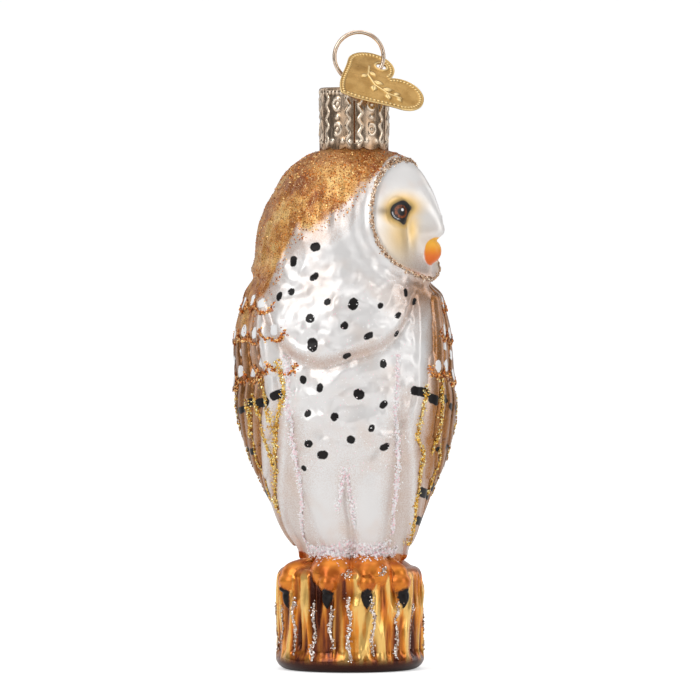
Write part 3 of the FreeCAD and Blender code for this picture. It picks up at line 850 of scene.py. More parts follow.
def bib_and_shoulder_shade():
    """Tan as painted shade in the fold under the overhanging bib and over the shoulders."""
    fold = bell(fields["bib_above"] + 0.6, 1.5) * bell(from_breast, 58)
    fold = fold * (0.42 + 0.42 * ramp(20, 55, np.abs(turn)))
    shoulder = 0.8 * ramp(26, 52, from_breast) * bell(height - 71.5, 5.0)
    return np.maximum(fold, shoulder) * on_body


def belly_shade():
    """Faint tan over the lower belly, as painted shade towards the sides, beside the legs and in their
    furrow, and least on the thighs, which are left pale as painted highlight.
    """
    thigh_highlight = bell(height - 29, 7.0) * (bell(turn + 22, 13) + bell(turn - 14, 13))
    beside_legs = sum(bell(skin.arc(turn - side), 2.4) for side in LEG_SIDES)
    belly = 0.09 * ramp(52, 42, height) + 0.20 * ramp(22, 40, from_breast) * ramp(60, 48, height)
    belly += 0.20 * beside_legs * ramp(54, 46, height)
    belly += 0.16 * bell(skin.arc(turn - FURROW_TURN), 1.6) * ramp(42, 36, height)
    return belly * (1 - 0.9 * thigh_highlight) * (1 - on_wing)


def airbrush():
    """Soft amounts of tan, dark brown and crown copper sprayed over the pearl ground, partly airbrushed
    colour and partly painted shade in folds, creases and furrows, towards the sides and under the cap.
    """
    mottle = smooth_noise(skin.plain, 3.4, 41)
    fine = soft_noise(skin.plain, 1.1, 43)
    back = ramp(100, 118, from_breast) * on_body
    fringe = 0.34 * ramp(-8, -1, over_hood + 1.2 * mottle) * ramp(0.2, 3.0, rim) * on_body
    tan = np.maximum.reduce((wing_tan_and_shade(), bib_and_shoulder_shade(), belly_shade(), back, fringe))
    # The hood of copper covers the crown and nape and runs down behind the left cheek.
    crown = ramp(-3.6, 3.0, over_hood + 1.6 * mottle + 0.8 * fine) * ramp(0.2, 1.4, rim) * on_body
    # The wings turn dark brown towards their backs, partly their own colour and partly painted shade towards
    # the outline, with painted shade in their creases.
    far_aft = np.maximum(ramp(16, 46, behind) * on_wing, back)
    wing_umber_and_shade = 0.52 * far_aft + 0.95 * wing_crease * ramp(0, 10, behind) * on_wing
    # Painted shade: the crown darkens towards the sides and back.
    crown_side_shade = 0.8 * crown * ramp(32, 84, from_breast)
    # The neck under the cap is painted dark as shade.
    umber_and_shade = np.maximum.reduce((wing_umber_and_shade, crown_side_shade, ramp(98.6, 99.4, height)))
    return {
        "tan": np.clip(tan * (0.92 + 0.2 * mottle), 0, 1),
        "umber_and_shade": np.clip(umber_and_shade * (0.9 + 0.3 * mottle), 0, 1),
        "crown": np.clip(crown, 0, 1),
    }


AMBER_LINE = 22.1


def amber_edge():
    """Signed distance from the wavy line where pearl feathers end and the amber feet begin."""
    line = AMBER_LINE + 0.3 * np.sin(np.radians(turn * 9)) + 0.4 * soft_noise(skin.plain, 1.6, 61)
    return (height + fields["relief"] * skin.normal[..., 2] - line) * np.where(skin.radius > 13.9, 3, 1)


def paint_fields():
    """Every field that the glass's paint follows, as one number for each point."""
    paint = {
        "ink": ink_marks(),
        "dots": dot_marks(),
        "amber_edge": amber_edge(),
        "bark": fields["bark"],
        "foot": fields["foot"],
        "claw": (fields["claw_share"] - 1) * 1.1,
        "beak": np.maximum((fields["beak_share"] - 1.03) * 1.9, height - BEAK_TOP),
        "low": ramp(4.2, 1.2, height) * skin.outside,
        # Painted shade in the stump's deep furrows and between the toes.
        "groove_shade": ramp(-0.3, -1.1, fields["relief"]) * (height < 19) * skin.outside,
    }
    paint.update(eye_fields())
    paint.update(airbrush())
    return paint


# ---------------------------------------------------------------- material helpers


class Shader:
    """A node tree with short calls for the nodes that the finishes share."""

    def __init__(self, name):
        self.material = bpy.data.materials.new(name)
        self.material.use_nodes = True
        self.tree = self.material.node_tree
        self.surface = self.tree.nodes["Principled BSDF"]

    def node(self, kind, **settings):
        made = self.tree.nodes.new(kind)
        for key, value in settings.items():
            setattr(made, key, value)
        return made

    def link(self, source, target):
        self.tree.links.new(source, target)

    def feed(self, socket, value):
        """Sets a socket to a number or colour, or links it to another socket."""
        if isinstance(value, bpy.types.NodeSocket):
            self.link(value, socket)
        elif isinstance(value, tuple) and len(value) == 3:
            socket.default_value = (*value, 1.0)
        else:
            socket.default_value = value

    def field(self, name):
        """A number kept on the mesh's points."""
        return self.node("ShaderNodeAttribute", attribute_name=name).outputs["Fac"]

    def math(self, operation, a, b, clamp=False):
        made = self.node("ShaderNodeMath", operation=operation, use_clamp=clamp)
        self.feed(made.inputs[0], a)
        self.feed(made.inputs[1], b)
        return made.outputs[0]

    def times(self, a, b):
        return self.math("MULTIPLY", a, b)

    def plus(self, a, b):
        return self.math("ADD", a, b)

    def remap(self, value, low, high, to_low=0.0, to_high=1.0):
        """A smooth step from one pair of numbers to another."""
        made = self.node("ShaderNodeMapRange", interpolation_type="SMOOTHSTEP")
        for socket, number in zip(made.inputs, (value, low, high, to_low, to_high)):
            self.feed(socket, number)
        return made.outputs[0]

    def mix(self, amount, a, b):
        """Colour a where amount is 0 and b where it is 1."""
        made = self.node("ShaderNodeMix", data_type="RGBA")
        self.feed(made.inputs["Factor"], amount)
        self.feed(made.inputs[6], a)
        self.feed(made.inputs[7], b)
        return made.outputs[2]

    def blend(self, amount, a, b):
        """Number a where amount is 0 and b where it is 1."""
        made = self.node("ShaderNodeMix", data_type="FLOAT")
        self.feed(made.inputs["Factor"], amount)
        self.feed(made.inputs[2], a)
        self.feed(made.inputs[3], b)
        return made.outputs[0]

    def place(self, stretch=(1, 1, 1)):
        """The object's own coordinates in millimetres, stretched."""
        made = self.node("ShaderNodeMapping")
        made.inputs["Scale"].default_value = [s / MM for s in stretch]
        self.link(self.node("ShaderNodeTexCoord").outputs["Object"], made.inputs["Vector"])
        return made.outputs["Vector"]

    def node_height(self):
        """Height above the stump's underside, in millimetres."""
        made = self.node("ShaderNodeSeparateXYZ")
        self.link(self.place(), made.inputs[0])
        return made.outputs["Z"]

    def noise(self, scale, detail=3.0, stretch=(1, 1, 1), rough=0.55):
        """Noise whose scale is in features per millimetre."""
        made = self.node("ShaderNodeTexNoise")
        self.link(self.place(stretch), made.inputs["Vector"])
        made.inputs["Scale"].default_value = scale
        made.inputs["Detail"].default_value = detail
        made.inputs["Roughness"].default_value = rough
        return made.outputs["Fac"]

    def colours(self, value, stops):
        """A colour ramp with (place, colour) stops."""
        made = self.node("ShaderNodeValToRGB")
        self.feed(made.inputs["Fac"], value)
        elements = made.color_ramp.elements
        while len(elements) < len(stops):
            elements.new(0.5)
        for element, (place, colour) in zip(elements, stops):
            element.position = place
            element.color = (*colour, 1.0)
        return made.outputs["Color"]

    def edge(self, name, soft, wobble=0.0):
        """1 inside a painted mark and 0 outside, from its distance field."""
        distance = self.field(name)
        if wobble:
            distance = self.plus(distance, self.remap(self.noise(1.3, 2), 0.3, 0.7, -wobble, wobble))
        return self.remap(distance, -soft, soft, 1.0, 0.0)

    def bump(self, value, depth_mm, strength):
        """Fine relief in the finish, too small to be modelled."""
        made = self.node("ShaderNodeBump")
        made.inputs["Strength"].default_value = strength
        made.inputs["Distance"].default_value = depth_mm * MM
        self.feed(made.inputs["Height"], value)
        self.link(made.outputs["Normal"], self.surface.inputs["Normal"])

    def finish(self, **values):
        """Sets or links the surface's inputs, named with underscores for spaces."""
        for key, value in values.items():
            self.feed(self.surface.inputs[key.replace("_", " ")], value)
        return self.material


PEARL = (0.87, 0.85, 0.835)
PEARL_WARM = (0.82, 0.71, 0.64)
TAN = (0.42, 0.158, 0.022)
UMBER = (0.095, 0.030, 0.008)
INK = (0.012, 0.010, 0.010)
DOT_WHITE = (0.90, 0.90, 0.90)
# Crown, from its darkest mottle to its brightest.
CROWN_MOTTLE = (
    (0.35, (0.30, 0.080, 0.014)), (0.44, (0.54, 0.21, 0.042)), (0.52, (0.80, 0.40, 0.10)),
    (0.61, (0.95, 0.62, 0.22)),
)
CROWN_SHADE_BY_CAP = (0.38, 0.115, 0.022)
CROWN_GRAIN = (0.22, 0.050, 0.008)
CROWN_SPARK = (0.98, 0.70, 0.36)
CROWN_SHADE = (0.21, 0.062, 0.013)
EYE_BLUSH = (0.93, 0.60, 0.17)
EYE_SHADOW = (0.16, 0.11, 0.07)
IRIS = ((0.38, (0.030, 0.007, 0.004)), (0.68, (0.40, 0.095, 0.018)))
EYE_CRESCENT = (0.62, 0.63, 0.66)
EYE_GLINT = (0.95, 0.95, 0.95)
# Bark lacquer, from the deepest furrow to the highest ridge: painted shade in the furrows, painted highlight
# on the ridges.
AMBER = (
    (0.39, (0.020, 0.005, 0.003)), (0.48, (0.19, 0.028, 0.006)), (0.56, (0.62, 0.15, 0.013)),
    (0.65, (0.97, 0.33, 0.028)), (0.77, (1.0, 0.62, 0.18)),
)
AMBER_TOP_SHADE = (0.46, 0.115, 0.012)
AMBER_GROOVE_SHADE = (0.065, 0.011, 0.003)
AMBER_LOW = (0.050, 0.010, 0.004)
FOOT_DARK = (0.56, 0.125, 0.010)
FOOT_BRIGHT = (0.84, 0.27, 0.026)
BEAK_SHADED = (0.86, 0.17, 0.012)
BEAK_LIT = (0.96, 0.50, 0.05)


def pearl_ground(s):
    """Pearl white lacquer, warmed in patches, with the tan and brown airbrush and painted shade over it."""
    patches = s.remap(s.noise(0.16, 2), 0.35, 0.7)
    ground = s.mix(patches, PEARL, PEARL_WARM)
    ground = s.mix(s.times(patches, 0.6), PEARL, ground)
    speckle = s.remap(s.noise(4.5, 2), 0.40, 0.62, -0.10, 0.10)
    tan = s.math("ADD", s.field("tan"), speckle, clamp=True)
    tan = s.times(tan, s.remap(s.field("tan"), 0.0, 0.12))
    colour = s.mix(tan, ground, TAN)
    return s.mix(s.field("umber_and_shade"), colour, UMBER)


def crown_coat(s, colour):
    """Golden copper spray with dense fine speckle over the crown, nape and back, with painted shade towards
    the cap and the sides, and how much there is.
    """
    mottled = s.colours(s.plus(s.times(s.noise(0.16, 2), 0.6), s.times(s.noise(0.6, 3), 0.4)), CROWN_MOTTLE)
    # Painted shade: the crown darkens towards the cap.
    mottled = s.mix(s.remap(s.node_height(), 93.5, 97.5, 0.0, 0.6), mottled, CROWN_SHADE_BY_CAP)
    grains = s.remap(s.noise(4.2, 1), 0.50, 0.64)
    mottled = s.mix(s.times(grains, 0.8), mottled, CROWN_GRAIN)
    sparks = s.remap(s.noise(5.5, 1), 0.60, 0.68)
    mottled = s.mix(s.times(sparks, 0.8), mottled, CROWN_SPARK)
    shaded = s.mix(s.times(s.field("umber_and_shade"), 0.75), mottled, CROWN_SHADE)
    amount = s.remap(s.plus(s.field("crown"), s.times(s.noise(3.2, 2), 0.35)), 0.32, 0.95)
    return s.mix(amount, colour, shaded), amount


def eye_paint(s, colour):
    """Yellow blush, painted shadow, black outline, brown iris, pupil and glints."""
    colour = s.mix(s.field("blush"), colour, EYE_BLUSH)
    colour = s.mix(s.times(s.field("eye_shadow"), 0.85), colour, EYE_SHADOW)
    iris = s.colours(s.noise(1.6, 2), IRIS)
    parts = (("eye_outline", 0.10, INK), ("eye_iris", 0.14, iris), ("eye_pupil", 0.14, INK),
             ("eye_crescent", 0.06, EYE_CRESCENT), ("eye_glint", 0.08, EYE_GLINT))
    for name, soft, paint in parts:
        colour = s.mix(s.edge(name, soft), colour, paint)
    return colour


def amber_paint(s):
    """Amber lacquer over silvering with random streaks: cream as painted highlight on the bark's ridges, red
    brown as painted shade in its furrows.
    """
    streak = s.noise(0.42, 3, (1, 1, 0.16))
    fine = s.noise(1.6, 3, (1, 1, 0.10))
    amber = s.colours(s.plus(s.times(s.field("bark"), 0.34), s.blend(0.35, streak, fine)), AMBER)
    # Painted shade on the stump's top under the body.
    amber = s.mix(s.remap(s.node_height(), 17.6, 19.0, 0.0, 0.8), amber, AMBER_TOP_SHADE)
    foot = s.mix(s.remap(s.noise(0.3, 2), 0.35, 0.65), FOOT_DARK, FOOT_BRIGHT)
    amber = s.mix(s.field("foot"), amber, foot)
    # Painted shade in the deep furrows, except on the feet.
    groove_shade = s.times(s.field("groove_shade"), s.math("SUBTRACT", 1.0, s.field("foot")))
    amber = s.mix(groove_shade, amber, AMBER_GROOVE_SHADE)
    return s.mix(s.field("low"), amber, AMBER_LOW)


def glass_shine(s, amber, crown, covered):
    """How metallic and how rough the lacquer is; opaque paint covers the silvering."""
    pearl_metal = s.blend(s.field("tan"), 0.42, 0.70)
    metal = s.blend(amber, s.blend(crown, pearl_metal, 0.45), 0.62)
    metal = s.times(metal, s.math("SUBTRACT", 1.0, covered))
    satin = s.remap(s.noise(0.5, 2), 0.3, 0.7, 0.33, 0.42)
    satin = s.blend(s.field("tan"), satin, 0.27)
    lacquer = s.blend(s.field("foot"), 0.19, 0.32)
    rough = s.blend(amber, s.blend(crown, satin, 0.46), lacquer)
    return metal, s.blend(covered, rough, 0.30)


def painted_glass():
    """Silvered glass under all of its paint."""
    s = Shader("painted_glass")
    colour, crown = crown_coat(s, pearl_ground(s))
    colour = eye_paint(s, colour)
    amber = s.edge("amber_edge", 0.25, 0.12)
    colour = s.mix(amber, colour, amber_paint(s))
    beak = s.edge("beak", 0.12)
    # The beak is lighter towards its top: painted highlight above, painted shade below.
    colour = s.mix(beak, colour, s.mix(s.remap(s.node_height(), 78.0, 81.4), BEAK_SHADED, BEAK_LIT))
    dots = s.edge("dots", 0.10, 0.12)
    colour = s.mix(s.times(s.edge("dots", 0.40), 0.35), colour, UMBER)
    colour = s.mix(dots, colour, DOT_WHITE)
    ink = s.math("MAXIMUM", s.edge("ink", 0.09, 0.07), s.edge("claw", 0.12, 0.05))
    colour = s.mix(ink, colour, INK)
    eye = s.edge("eye_outline", 0.1)
    covered = s.math("MAXIMUM", s.math("MAXIMUM", ink, dots), s.math("MAXIMUM", eye, beak))
    metal, rough = glass_shine(s, amber, crown, covered)
    s.bump(s.plus(s.times(s.noise(2.4, 2), 0.3), s.times(s.noise(0.8, 2), 0.7)), 0.09, 0.4)
    return s.finish(Base_Color=colour, Metallic=metal, Roughness=rough,
                    Specular_IOR_Level=s.blend(ink, 0.5, 0.2),
                    Coat_Weight=s.blend(covered, 0.12, 0.0), Coat_Roughness=0.16)


# ---------------------------------------------------------------- build the glass


def build_glass():
    """One closed sheet, outside and inside, with its paint fields on every point."""
    paint = {key: np.asarray(values).reshape(-1) for key, values in paint_fields().items()}
    rows = skin.plain.shape[0]
    first_ring = list(range(COLUMNS))
    last_ring = list(range((rows - 1) * COLUMNS, rows * COLUMNS))
    faces = list(grid_faces(rows, COLUMNS)) + [first_ring[::-1], last_ring]
    owl = new_mesh("painted_owl", flat, faces, paint)
    take_place(owl, painted_glass(), "glass_owl", "glass")


build_glass()

# ---------------------------------------------------------------- glitter

# Millimetres of surface in a degree of turn.
DEGREE_ARC = 0.35
FLAKE_THICKNESS = 0.045
FLAKE_BEDDED = 0.02
FLAKE_TILT = 0.42
SIZE_SPREAD = (0.7, 1.3)
HEAP_HEIGHT = 0.32
CLEAR_OF_CAP = 0.6
CLEAR_BELOW_CAP = 1.2
DUST_FLAKES = 16000
DUST_SIZE = 0.145
DUST_TURNS = (-160, 160)
DUST_FOOT = 62
DUST_TALL = 36.4
SPRINKLES = 620
SPRINKLE_SIZE = 0.14

# Gold lines down the front feathers of each wing, seen from the front: x and height.
GOLD_FRONT = (
    ((-13.9, 58.7), (-12.5, 54.7), (-12.4, 52.4), (-13.1, 50.2), (-13.9, 45.8), (-14.1, 41.2), (-13.9, 38.2),
     (-14.1, 34.4), (-13.5, 30.2), (-11.2, 23.9)),
    ((-16.9, 55.3), (-16.0, 52.4), (-15.6, 49.6), (-15.0, 47.1), (-13.9, 44.6)),
    ((-18.2, 52.4), (-17.7, 50.2), (-16.5, 45.2), (-15.2, 41.6), (-14.1, 38.2)),
    ((-19.6, 50.9), (-18.8, 47.1), (-18.6, 43.9), (-17.0, 38.6), (-14.8, 32.6)),
    ((14.4, 54.2), (14.25, 51.9), (13.5, 49.0), (12.7, 44.3), (13.9, 41.2), (13.3, 38.2), (12.5, 31.7),
     (12.0, 27.4), (11.2, 23.9)),
    ((17.3, 55.3), (17.4, 50.4), (17.1, 45.8), (15.4, 41.4)),
    ((17.1, 42.9), (16.9, 39.7), (14.6, 33.4)),
)
# White lines down the breast and legs, seen from the front.
WHITE_FRONT = (
    ((-12.2, 59.5), (-11.6, 54.7), (-11.4, 48.3), (-10.8, 43.5), (-9.5, 36.5), (-8.9, 31.7), (-8.4, 24.5)),
    ((9.1, 60.2), (8.9, 55.3), (8.4, 49.0), (8.9, 42.9), (8.7, 34.4), (8.2, 30.6), (8.0, 26.2)),
    ((-1.1, 38.4), (-1.7, 34.6), (-2.3, 31.2)),
    ((-1.1, 38.4), (-0.4, 37.2), (0.0, 33.6), (0.95, 27.4)),
    ((-8.0, 23.6), (-4.4, 23.2), (-0.6, 24.4), (3.6, 23.5), (7.4, 24.2)),
)
# Silver brown lines down the bark in front: x, and the heights of both ends.
BARK_FRONT = (
    (-13.2, 5.0, 12.0), (-10.8, 3.2, 13.6), (-7.2, 2.4, 13.0), (-3.8, 4.6, 12.0), (-0.2, 2.3, 14.6),
    (4.4, 3.4, 13.8), (9.1, 2.8, 13.0), (12.2, 4.2, 12.4),
)
GLITTER_TUFTS = ((-0.4, 18.4), (6.3, 18.8))
# The broad white line where the legs' feathers end.
HEM_HEIGHT = 22.6
BACK_BARK_TURNS = range(84, 290, 21)
# Degrees behind the leading edge from which every flight feather carries its own line.
FIRST_BACK_QUILL = 42


def front_turns(path):
    """Places given from the front as x and height, as turns and heights; none past the outline."""
    for x, z in path:
        hit = cast_front(x, z)
        if hit:
            spot = hit[0]
            yield math.degrees(math.atan2(spot[0], -spot[1])), z


class Glitter:
    """Six-sided flakes bonded to the glass."""

    def __init__(self):
        self.flakes = []

    def drop(self, degrees, z, size, lift):
        """One flake at a turn and height; none under the turning cap."""
        hit = cast_turn(degrees, z)
        if hit is None:
            return
        spot, normal = hit
        spot = spot + normal * (lift - FLAKE_BEDDED)
        off_axis = math.hypot(spot[0] - NECK_X, spot[1])
        if spot[2] > CAP_LOW[2] - CLEAR_BELOW_CAP and off_axis < CAP_RADIUS + CLEAR_OF_CAP:
            return
        self.flakes.append((*spot, *normal, size))

    def line(self, path, width=1.1, density=17.0, size=0.20):
        """Flakes heaped along a line of glue through (turn, height) places."""
        ends = np.array(list(path), float) * (DEGREE_ARC, 1)
        steps = np.hypot(*np.diff(ends, axis=0).T)
        reach = np.concatenate(([0], np.cumsum(steps)))
        for along in rng.uniform(0, reach[-1], int(reach[-1] * density)):
            swell = 0.75 + 0.35 * math.sin(2.1 * along) + 0.25 * math.sin(0.83 * along + 1)
            off = rng.normal(0, 0.27 * width * swell, 2)
            heap = HEAP_HEIGHT * math.exp(-((off @ off) / (0.16 * width)))
            across = np.interp(along, reach, ends[:, 0]) + off[0]
            up = np.interp(along, reach, ends[:, 1]) + off[1]
            flake = size * rng.uniform(*SIZE_SPREAD)
            self.drop(across / DEGREE_ARC, up, flake, heap * rng.uniform(0.3, 1))

    def points(self):
        """Corners of every flake: six round its edge and one over each face."""
        made = np.array(self.flakes)
        centre, normal, size = made[:, :3], made[:, 3:6], made[:, 6, None]
        normal = normal + rng.normal(0, FLAKE_TILT, normal.shape)
        normal /= np.linalg.norm(normal, axis=1, keepdims=True)
        side = np.cross(normal, rng.normal(0, 1, normal.shape))
        side /= np.linalg.norm(side, axis=1, keepdims=True)
        other = np.cross(normal, side)
        corners = [
            centre + size * (math.cos(a) * side + math.sin(a) * other) for a in np.radians(range(0, 360, 60))
        ]
        corners += [centre + FLAKE_THICKNESS * normal, centre - FLAKE_THICKNESS * normal]
        return np.stack(corners, axis=1)

    def build(self, name, node, slot, shades, metal):
        """One mesh of all flakes in the place of a CAD glitter node."""
        corners = self.points()
        count = len(corners)
        one = [(k, (k + 1) % 6, 6) for k in range(6)] + [((k + 1) % 6, k, 7) for k in range(6)]
        faces = (np.arange(count)[:, None, None] * 8 + np.array(one)).reshape(-1, 3)
        grain = np.repeat(rng.uniform(0, 1, count), 8)
        piece = new_mesh(name, corners.reshape(-1, 3), faces, {"grain": grain}, smooth=False)
        take_place(piece, flake_finish(slot, shades, metal), node, "glass")


def rim_glitter():
    """The line of glitter round the face disc."""
    path = []
    for a in np.radians(np.arange(0, 361, 6)):
        power = 2 / FACE_CORNERS[math.sin(a) <= 0]
        off = FACE_HALF_TURN * math.copysign(abs(math.cos(a)) ** power, math.cos(a))
        up = FACE_HALF_HEIGHT * math.copysign(abs(math.sin(a)) ** power, math.sin(a))
        path.append((FACE_TURN + off, FACE_HEIGHT + up))
    made = Glitter()
    made.line(path, width=1.15, density=24, size=0.21)
    return made


def quill_glitter():
    """Gold lines down the wings' flight feathers."""
    made = Glitter()
    for path in GOLD_FRONT:
        made.line(front_turns(path), width=1.35, density=24)
    for side, tier, centre, foot in feathers(FLIGHT_TIERS):
        if centre >= FIRST_BACK_QUILL:
            heights = np.linspace(foot + 0.62 * tier.long, foot + 2.0, 6)
            made.line([(wing_turn(side, centre, z), z) for z in heights])
    return made


def scallop_glitter():
    """Copper lines round the tips of the covert feathers, then the crown's copper dust."""
    made = Glitter()
    for side, tier, centre, foot in feathers(COVERT_TIERS):
        half = tier.pitch / 2
        path = []
        for t in np.linspace(-1, 1, 9):
            z = foot + 0.5 + half * DEGREE_ARC * (1 - math.sqrt(1 - 0.96 * t * t))
            path.append((wing_turn(side, centre + 0.94 * half * t, z), z))
        made.line(path, width=1.2, density=20)
    drop_dust(made)
    return made


def drop_dust(made):
    """Fine copper dust, thickest on top of the head and along the hood's edge."""
    for _ in range(DUST_FLAKES):
        degrees = rng.uniform(*DUST_TURNS)
        z = DUST_FOOT + DUST_TALL * rng.uniform(0, 1) ** 0.8
        over = z - curve_through(HOOD_EDGE, degrees)
        if over < -2 or face_place(degrees, z)[2] < 0.5 or (z < 73 and rng.uniform() < 0.6):
            continue
        share = 0.30 + 0.5 * math.exp(-((over - 1) / 3.2) ** 2) + 0.4 * (z > 93)
        if rng.uniform() < share:
            made.drop(degrees, z, DUST_SIZE * rng.uniform(*SIZE_SPREAD), 0.05)


def breast_glitter():
    """White lines down the breast and legs, and sparse pink and white sprinkles between them."""
    made = Glitter()
    for path in WHITE_FRONT:
        made.line(front_turns(path), width=1.5, density=30, size=0.18)
    hem = [(degrees, HEM_HEIGHT + 0.4 * math.sin(degrees)) for degrees in range(-52, 53, 4)]
    made.line(hem, width=2.4, density=34)
    for _ in range(SPRINKLES):
        degrees, z = rng.uniform(-42, 40), rng.uniform(38, 74)
        made.drop(degrees, z, SPRINKLE_SIZE * rng.uniform(*SIZE_SPREAD), 0.02)
    return made


def bark_glitter():
    """Silver brown lines down the bark all round the stump, and a tuft between the toes."""
    made = Glitter()
    lines = [(math.degrees(math.asin(x / STUMP_RADIUS)), low, high) for x, low, high in BARK_FRONT]
    for degrees in BACK_BARK_TURNS:
        lines.append((degrees, 3.0 + 1.2 * math.sin(degrees), 13.2 + 1.0 * math.cos(degrees)))
    for degrees, low, high in lines:
        path = [(degrees + 1.6 * math.sin(0.9 * z + degrees), z) for z in np.linspace(high, low, 7)]
        made.line(path, width=1.2, density=18, size=0.19)
    for x, z in GLITTER_TUFTS:
        made.line(front_turns(((x - 0.5, z), (x + 0.5, z + 0.8))), width=1.4, density=22, size=0.18)
    return made


def flake_finish(slot, shades, metal):
    """Metal film flakes of mixed shades, each a little different in shine."""
    s = Shader(slot + "_flakes")
    grain = s.field("grain")
    mixed = s.plus(s.times(grain, 0.8), s.times(s.noise(2.2, 2), 0.2))
    colour = s.colours(mixed, tuple(zip((0.12, 0.45, 0.80), shades)))
    s.bump(s.noise(9.0, 1), 0.02, 0.3)
    return s.finish(Base_Color=colour, Metallic=metal, Roughness=s.remap(grain, 0, 1, 0.42, 0.16))


# What makes each glitter, its piece, CAD node and slot, its dull, middle and bright shades, and how much
# metal shows. They draw from the same random numbers, so the order matters.
GLITTERS = (
    (rim_glitter, "face_rim_flakes", "glitter_face_rim", "glitter_champagne",
     ((0.34, 0.17, 0.08), (0.78, 0.55, 0.38), (1.0, 0.86, 0.70)), 0.92),
    (quill_glitter, "quill_flakes", "glitter_wing_quills", "glitter_gold",
     ((0.55, 0.25, 0.02), (0.98, 0.60, 0.10), (1.0, 0.90, 0.50)), 0.7),
    (scallop_glitter, "scallop_flakes", "glitter_wing_scallops", "glitter_copper",
     ((0.22, 0.045, 0.006), (0.76, 0.22, 0.030), (1.0, 0.66, 0.28)), 0.8),
    (breast_glitter, "breast_flakes", "glitter_breast", "glitter_white",
     ((1.0, 0.70, 0.75), (1.0, 0.97, 0.96), (1.0, 1.0, 1.0)), 0.0),
    (bark_glitter, "bark_flakes", "glitter_bark", "glitter_silver_brown",
     ((0.34, 0.18, 0.10), (0.80, 0.66, 0.56), (1.0, 0.96, 0.92)), 0.92),
)

for make, name, node, slot, shades, metal in GLITTERS:
    make().build(name, node, slot, shades, metal)

# ---------------------------------------------------------------- sheet metal


def boundary_walls(faces, offset):
    """Quads that join the open edges of a sheet to the same edges of its copy."""
    seen = {}
    for face in faces:
        for a, b in zip(face, face[1:] + face[:1]):
            seen[(a, b)] = (b, a) in seen
            if (b, a) in seen:
                seen[(b, a)] = True
    return [(b, a, a + offset, b + offset) for (a, b), shared in seen.items() if not shared]


def sheet_metal(name, front, back, faces, attributes):
    """A closed sheet from matching front and back points, the front's faces and the front's attributes."""
    faces = [tuple(map(int, face)) for face in faces]
    count = len(front)
    under = [tuple(v + count for v in reversed(face)) for face in faces]
    both = {key: np.tile(values, 2) for key, values in attributes.items()}
    made = new_mesh(name, np.vstack((front, back)), faces + under + boundary_walls(faces, count), both)
    drop_loose(made.data)
    return made


def drop_loose(mesh):
    """Removes the vertices that a hole or slot left without faces."""
    work = bmesh.new()
    work.from_mesh(mesh)
    loose = [vertex for vertex in work.verts if not vertex.link_faces]
    bmesh.ops.delete(work, geom=loose, context="VERTS")
    work.to_mesh(mesh)
    work.free()


def cut_hole(flat_places, faces, centre, radius, margin):
    """Leaves out faces inside a round hole and draws the points near its edge onto it."""
    off = flat_places - centre
    away = np.hypot(off[:, 0], off[:, 1])
    near = np.abs(away - radius) < margin
    flat_places[near] = centre + off[near] * (radius / away[near])[:, None]
    inside = away < radius - margin
    return [face for face in faces if not any(inside[v] for v in face)]


# ---------------------------------------------------------------- cap

CAP_COLUMNS = 360
CAP_SIDE_ROWS = 82
CAP_SHOULDER = 0.6
CAP_SLOTS = 6
SLOT_HALF_ANGLE = 1.5
SLOT_SPAN = (1.2, 9.4)
SCALLOPS = 12
SCALLOP_HEIGHT = 0.75
LEG_SPACING = 1.8
LEG_HOLE = 0.6
EMBOSS = 0.17
# A panel's stamped pattern: heights of the two open rings, and each bead's place across, height and size.
RING_HEIGHTS = (8.7, 4.0)
BEADS = ((0, 6.3, 0.42), (0, 8.7, 0.26), (1.15, 1.75, 0.40), (2.75, 1.55, 0.34), (0, 4.0, 0.24))
ROPE_HEIGHT = 11.0
ROPE_STRANDS = 48

CAP_PLATE = (0.95, 0.78, 0.61)
CAP_STAIN = (0.74, 0.53, 0.36)
CAP_RECESS_SHADE = (0.22, 0.13, 0.07)
CAP_HIGHLIGHT = (0.95, 0.85, 0.70)
CAP_FOOT = (0.30, 0.14, 0.05)


def cap_rows():
    """Radius and height above the foot of each row: up the side, over the shoulder, across the top."""
    tall = CAP_HIGH[2] - CAP_LOW[2]
    rows = [(CAP_RADIUS, z) for z in np.linspace(0, tall - CAP_SHOULDER, CAP_SIDE_ROWS)]
    for a in np.radians((15, 30, 45, 60, 75)):
        drop = CAP_SHOULDER * (1 - math.sin(a))
        rows.append((CAP_RADIUS - CAP_SHOULDER * (1 - math.cos(a)), tall - drop))
    rows += [(r, tall) for r in np.linspace(CAP_RADIUS - CAP_SHOULDER, 0.12, 46)]
    return np.array(rows)


def cap_pattern(degrees, z):
    """How far the stamped pattern stands out: wavy lines, rings and beads on each panel between slots."""
    pitch = 360 / CAP_SLOTS
    off = (degrees % pitch - pitch / 2) * math.radians(1) * CAP_RADIUS
    wave = 2.35 + 0.30 * np.sin(2 * math.pi * z / 2.6)
    raised = bell(np.abs(off) - wave, 0.20)
    for middle, open_side in zip(RING_HEIGHTS, (-1, 1)):
        loop = np.hypot(off / 0.85, (z - middle) / 1.05) - 1
        raised = np.maximum(raised, bell(loop, 0.22) * ramp(-0.95, -0.3, off * open_side / 0.85))
    for across, middle, size in BEADS:
        raised = np.maximum(raised, bell(np.hypot(np.abs(off) - across, z - middle), size))
    rope = bell(z - ROPE_HEIGHT, 0.34) * (0.5 + 0.5 * np.cos(np.radians(degrees * ROPE_STRANDS)))
    return np.maximum(raised, rope)


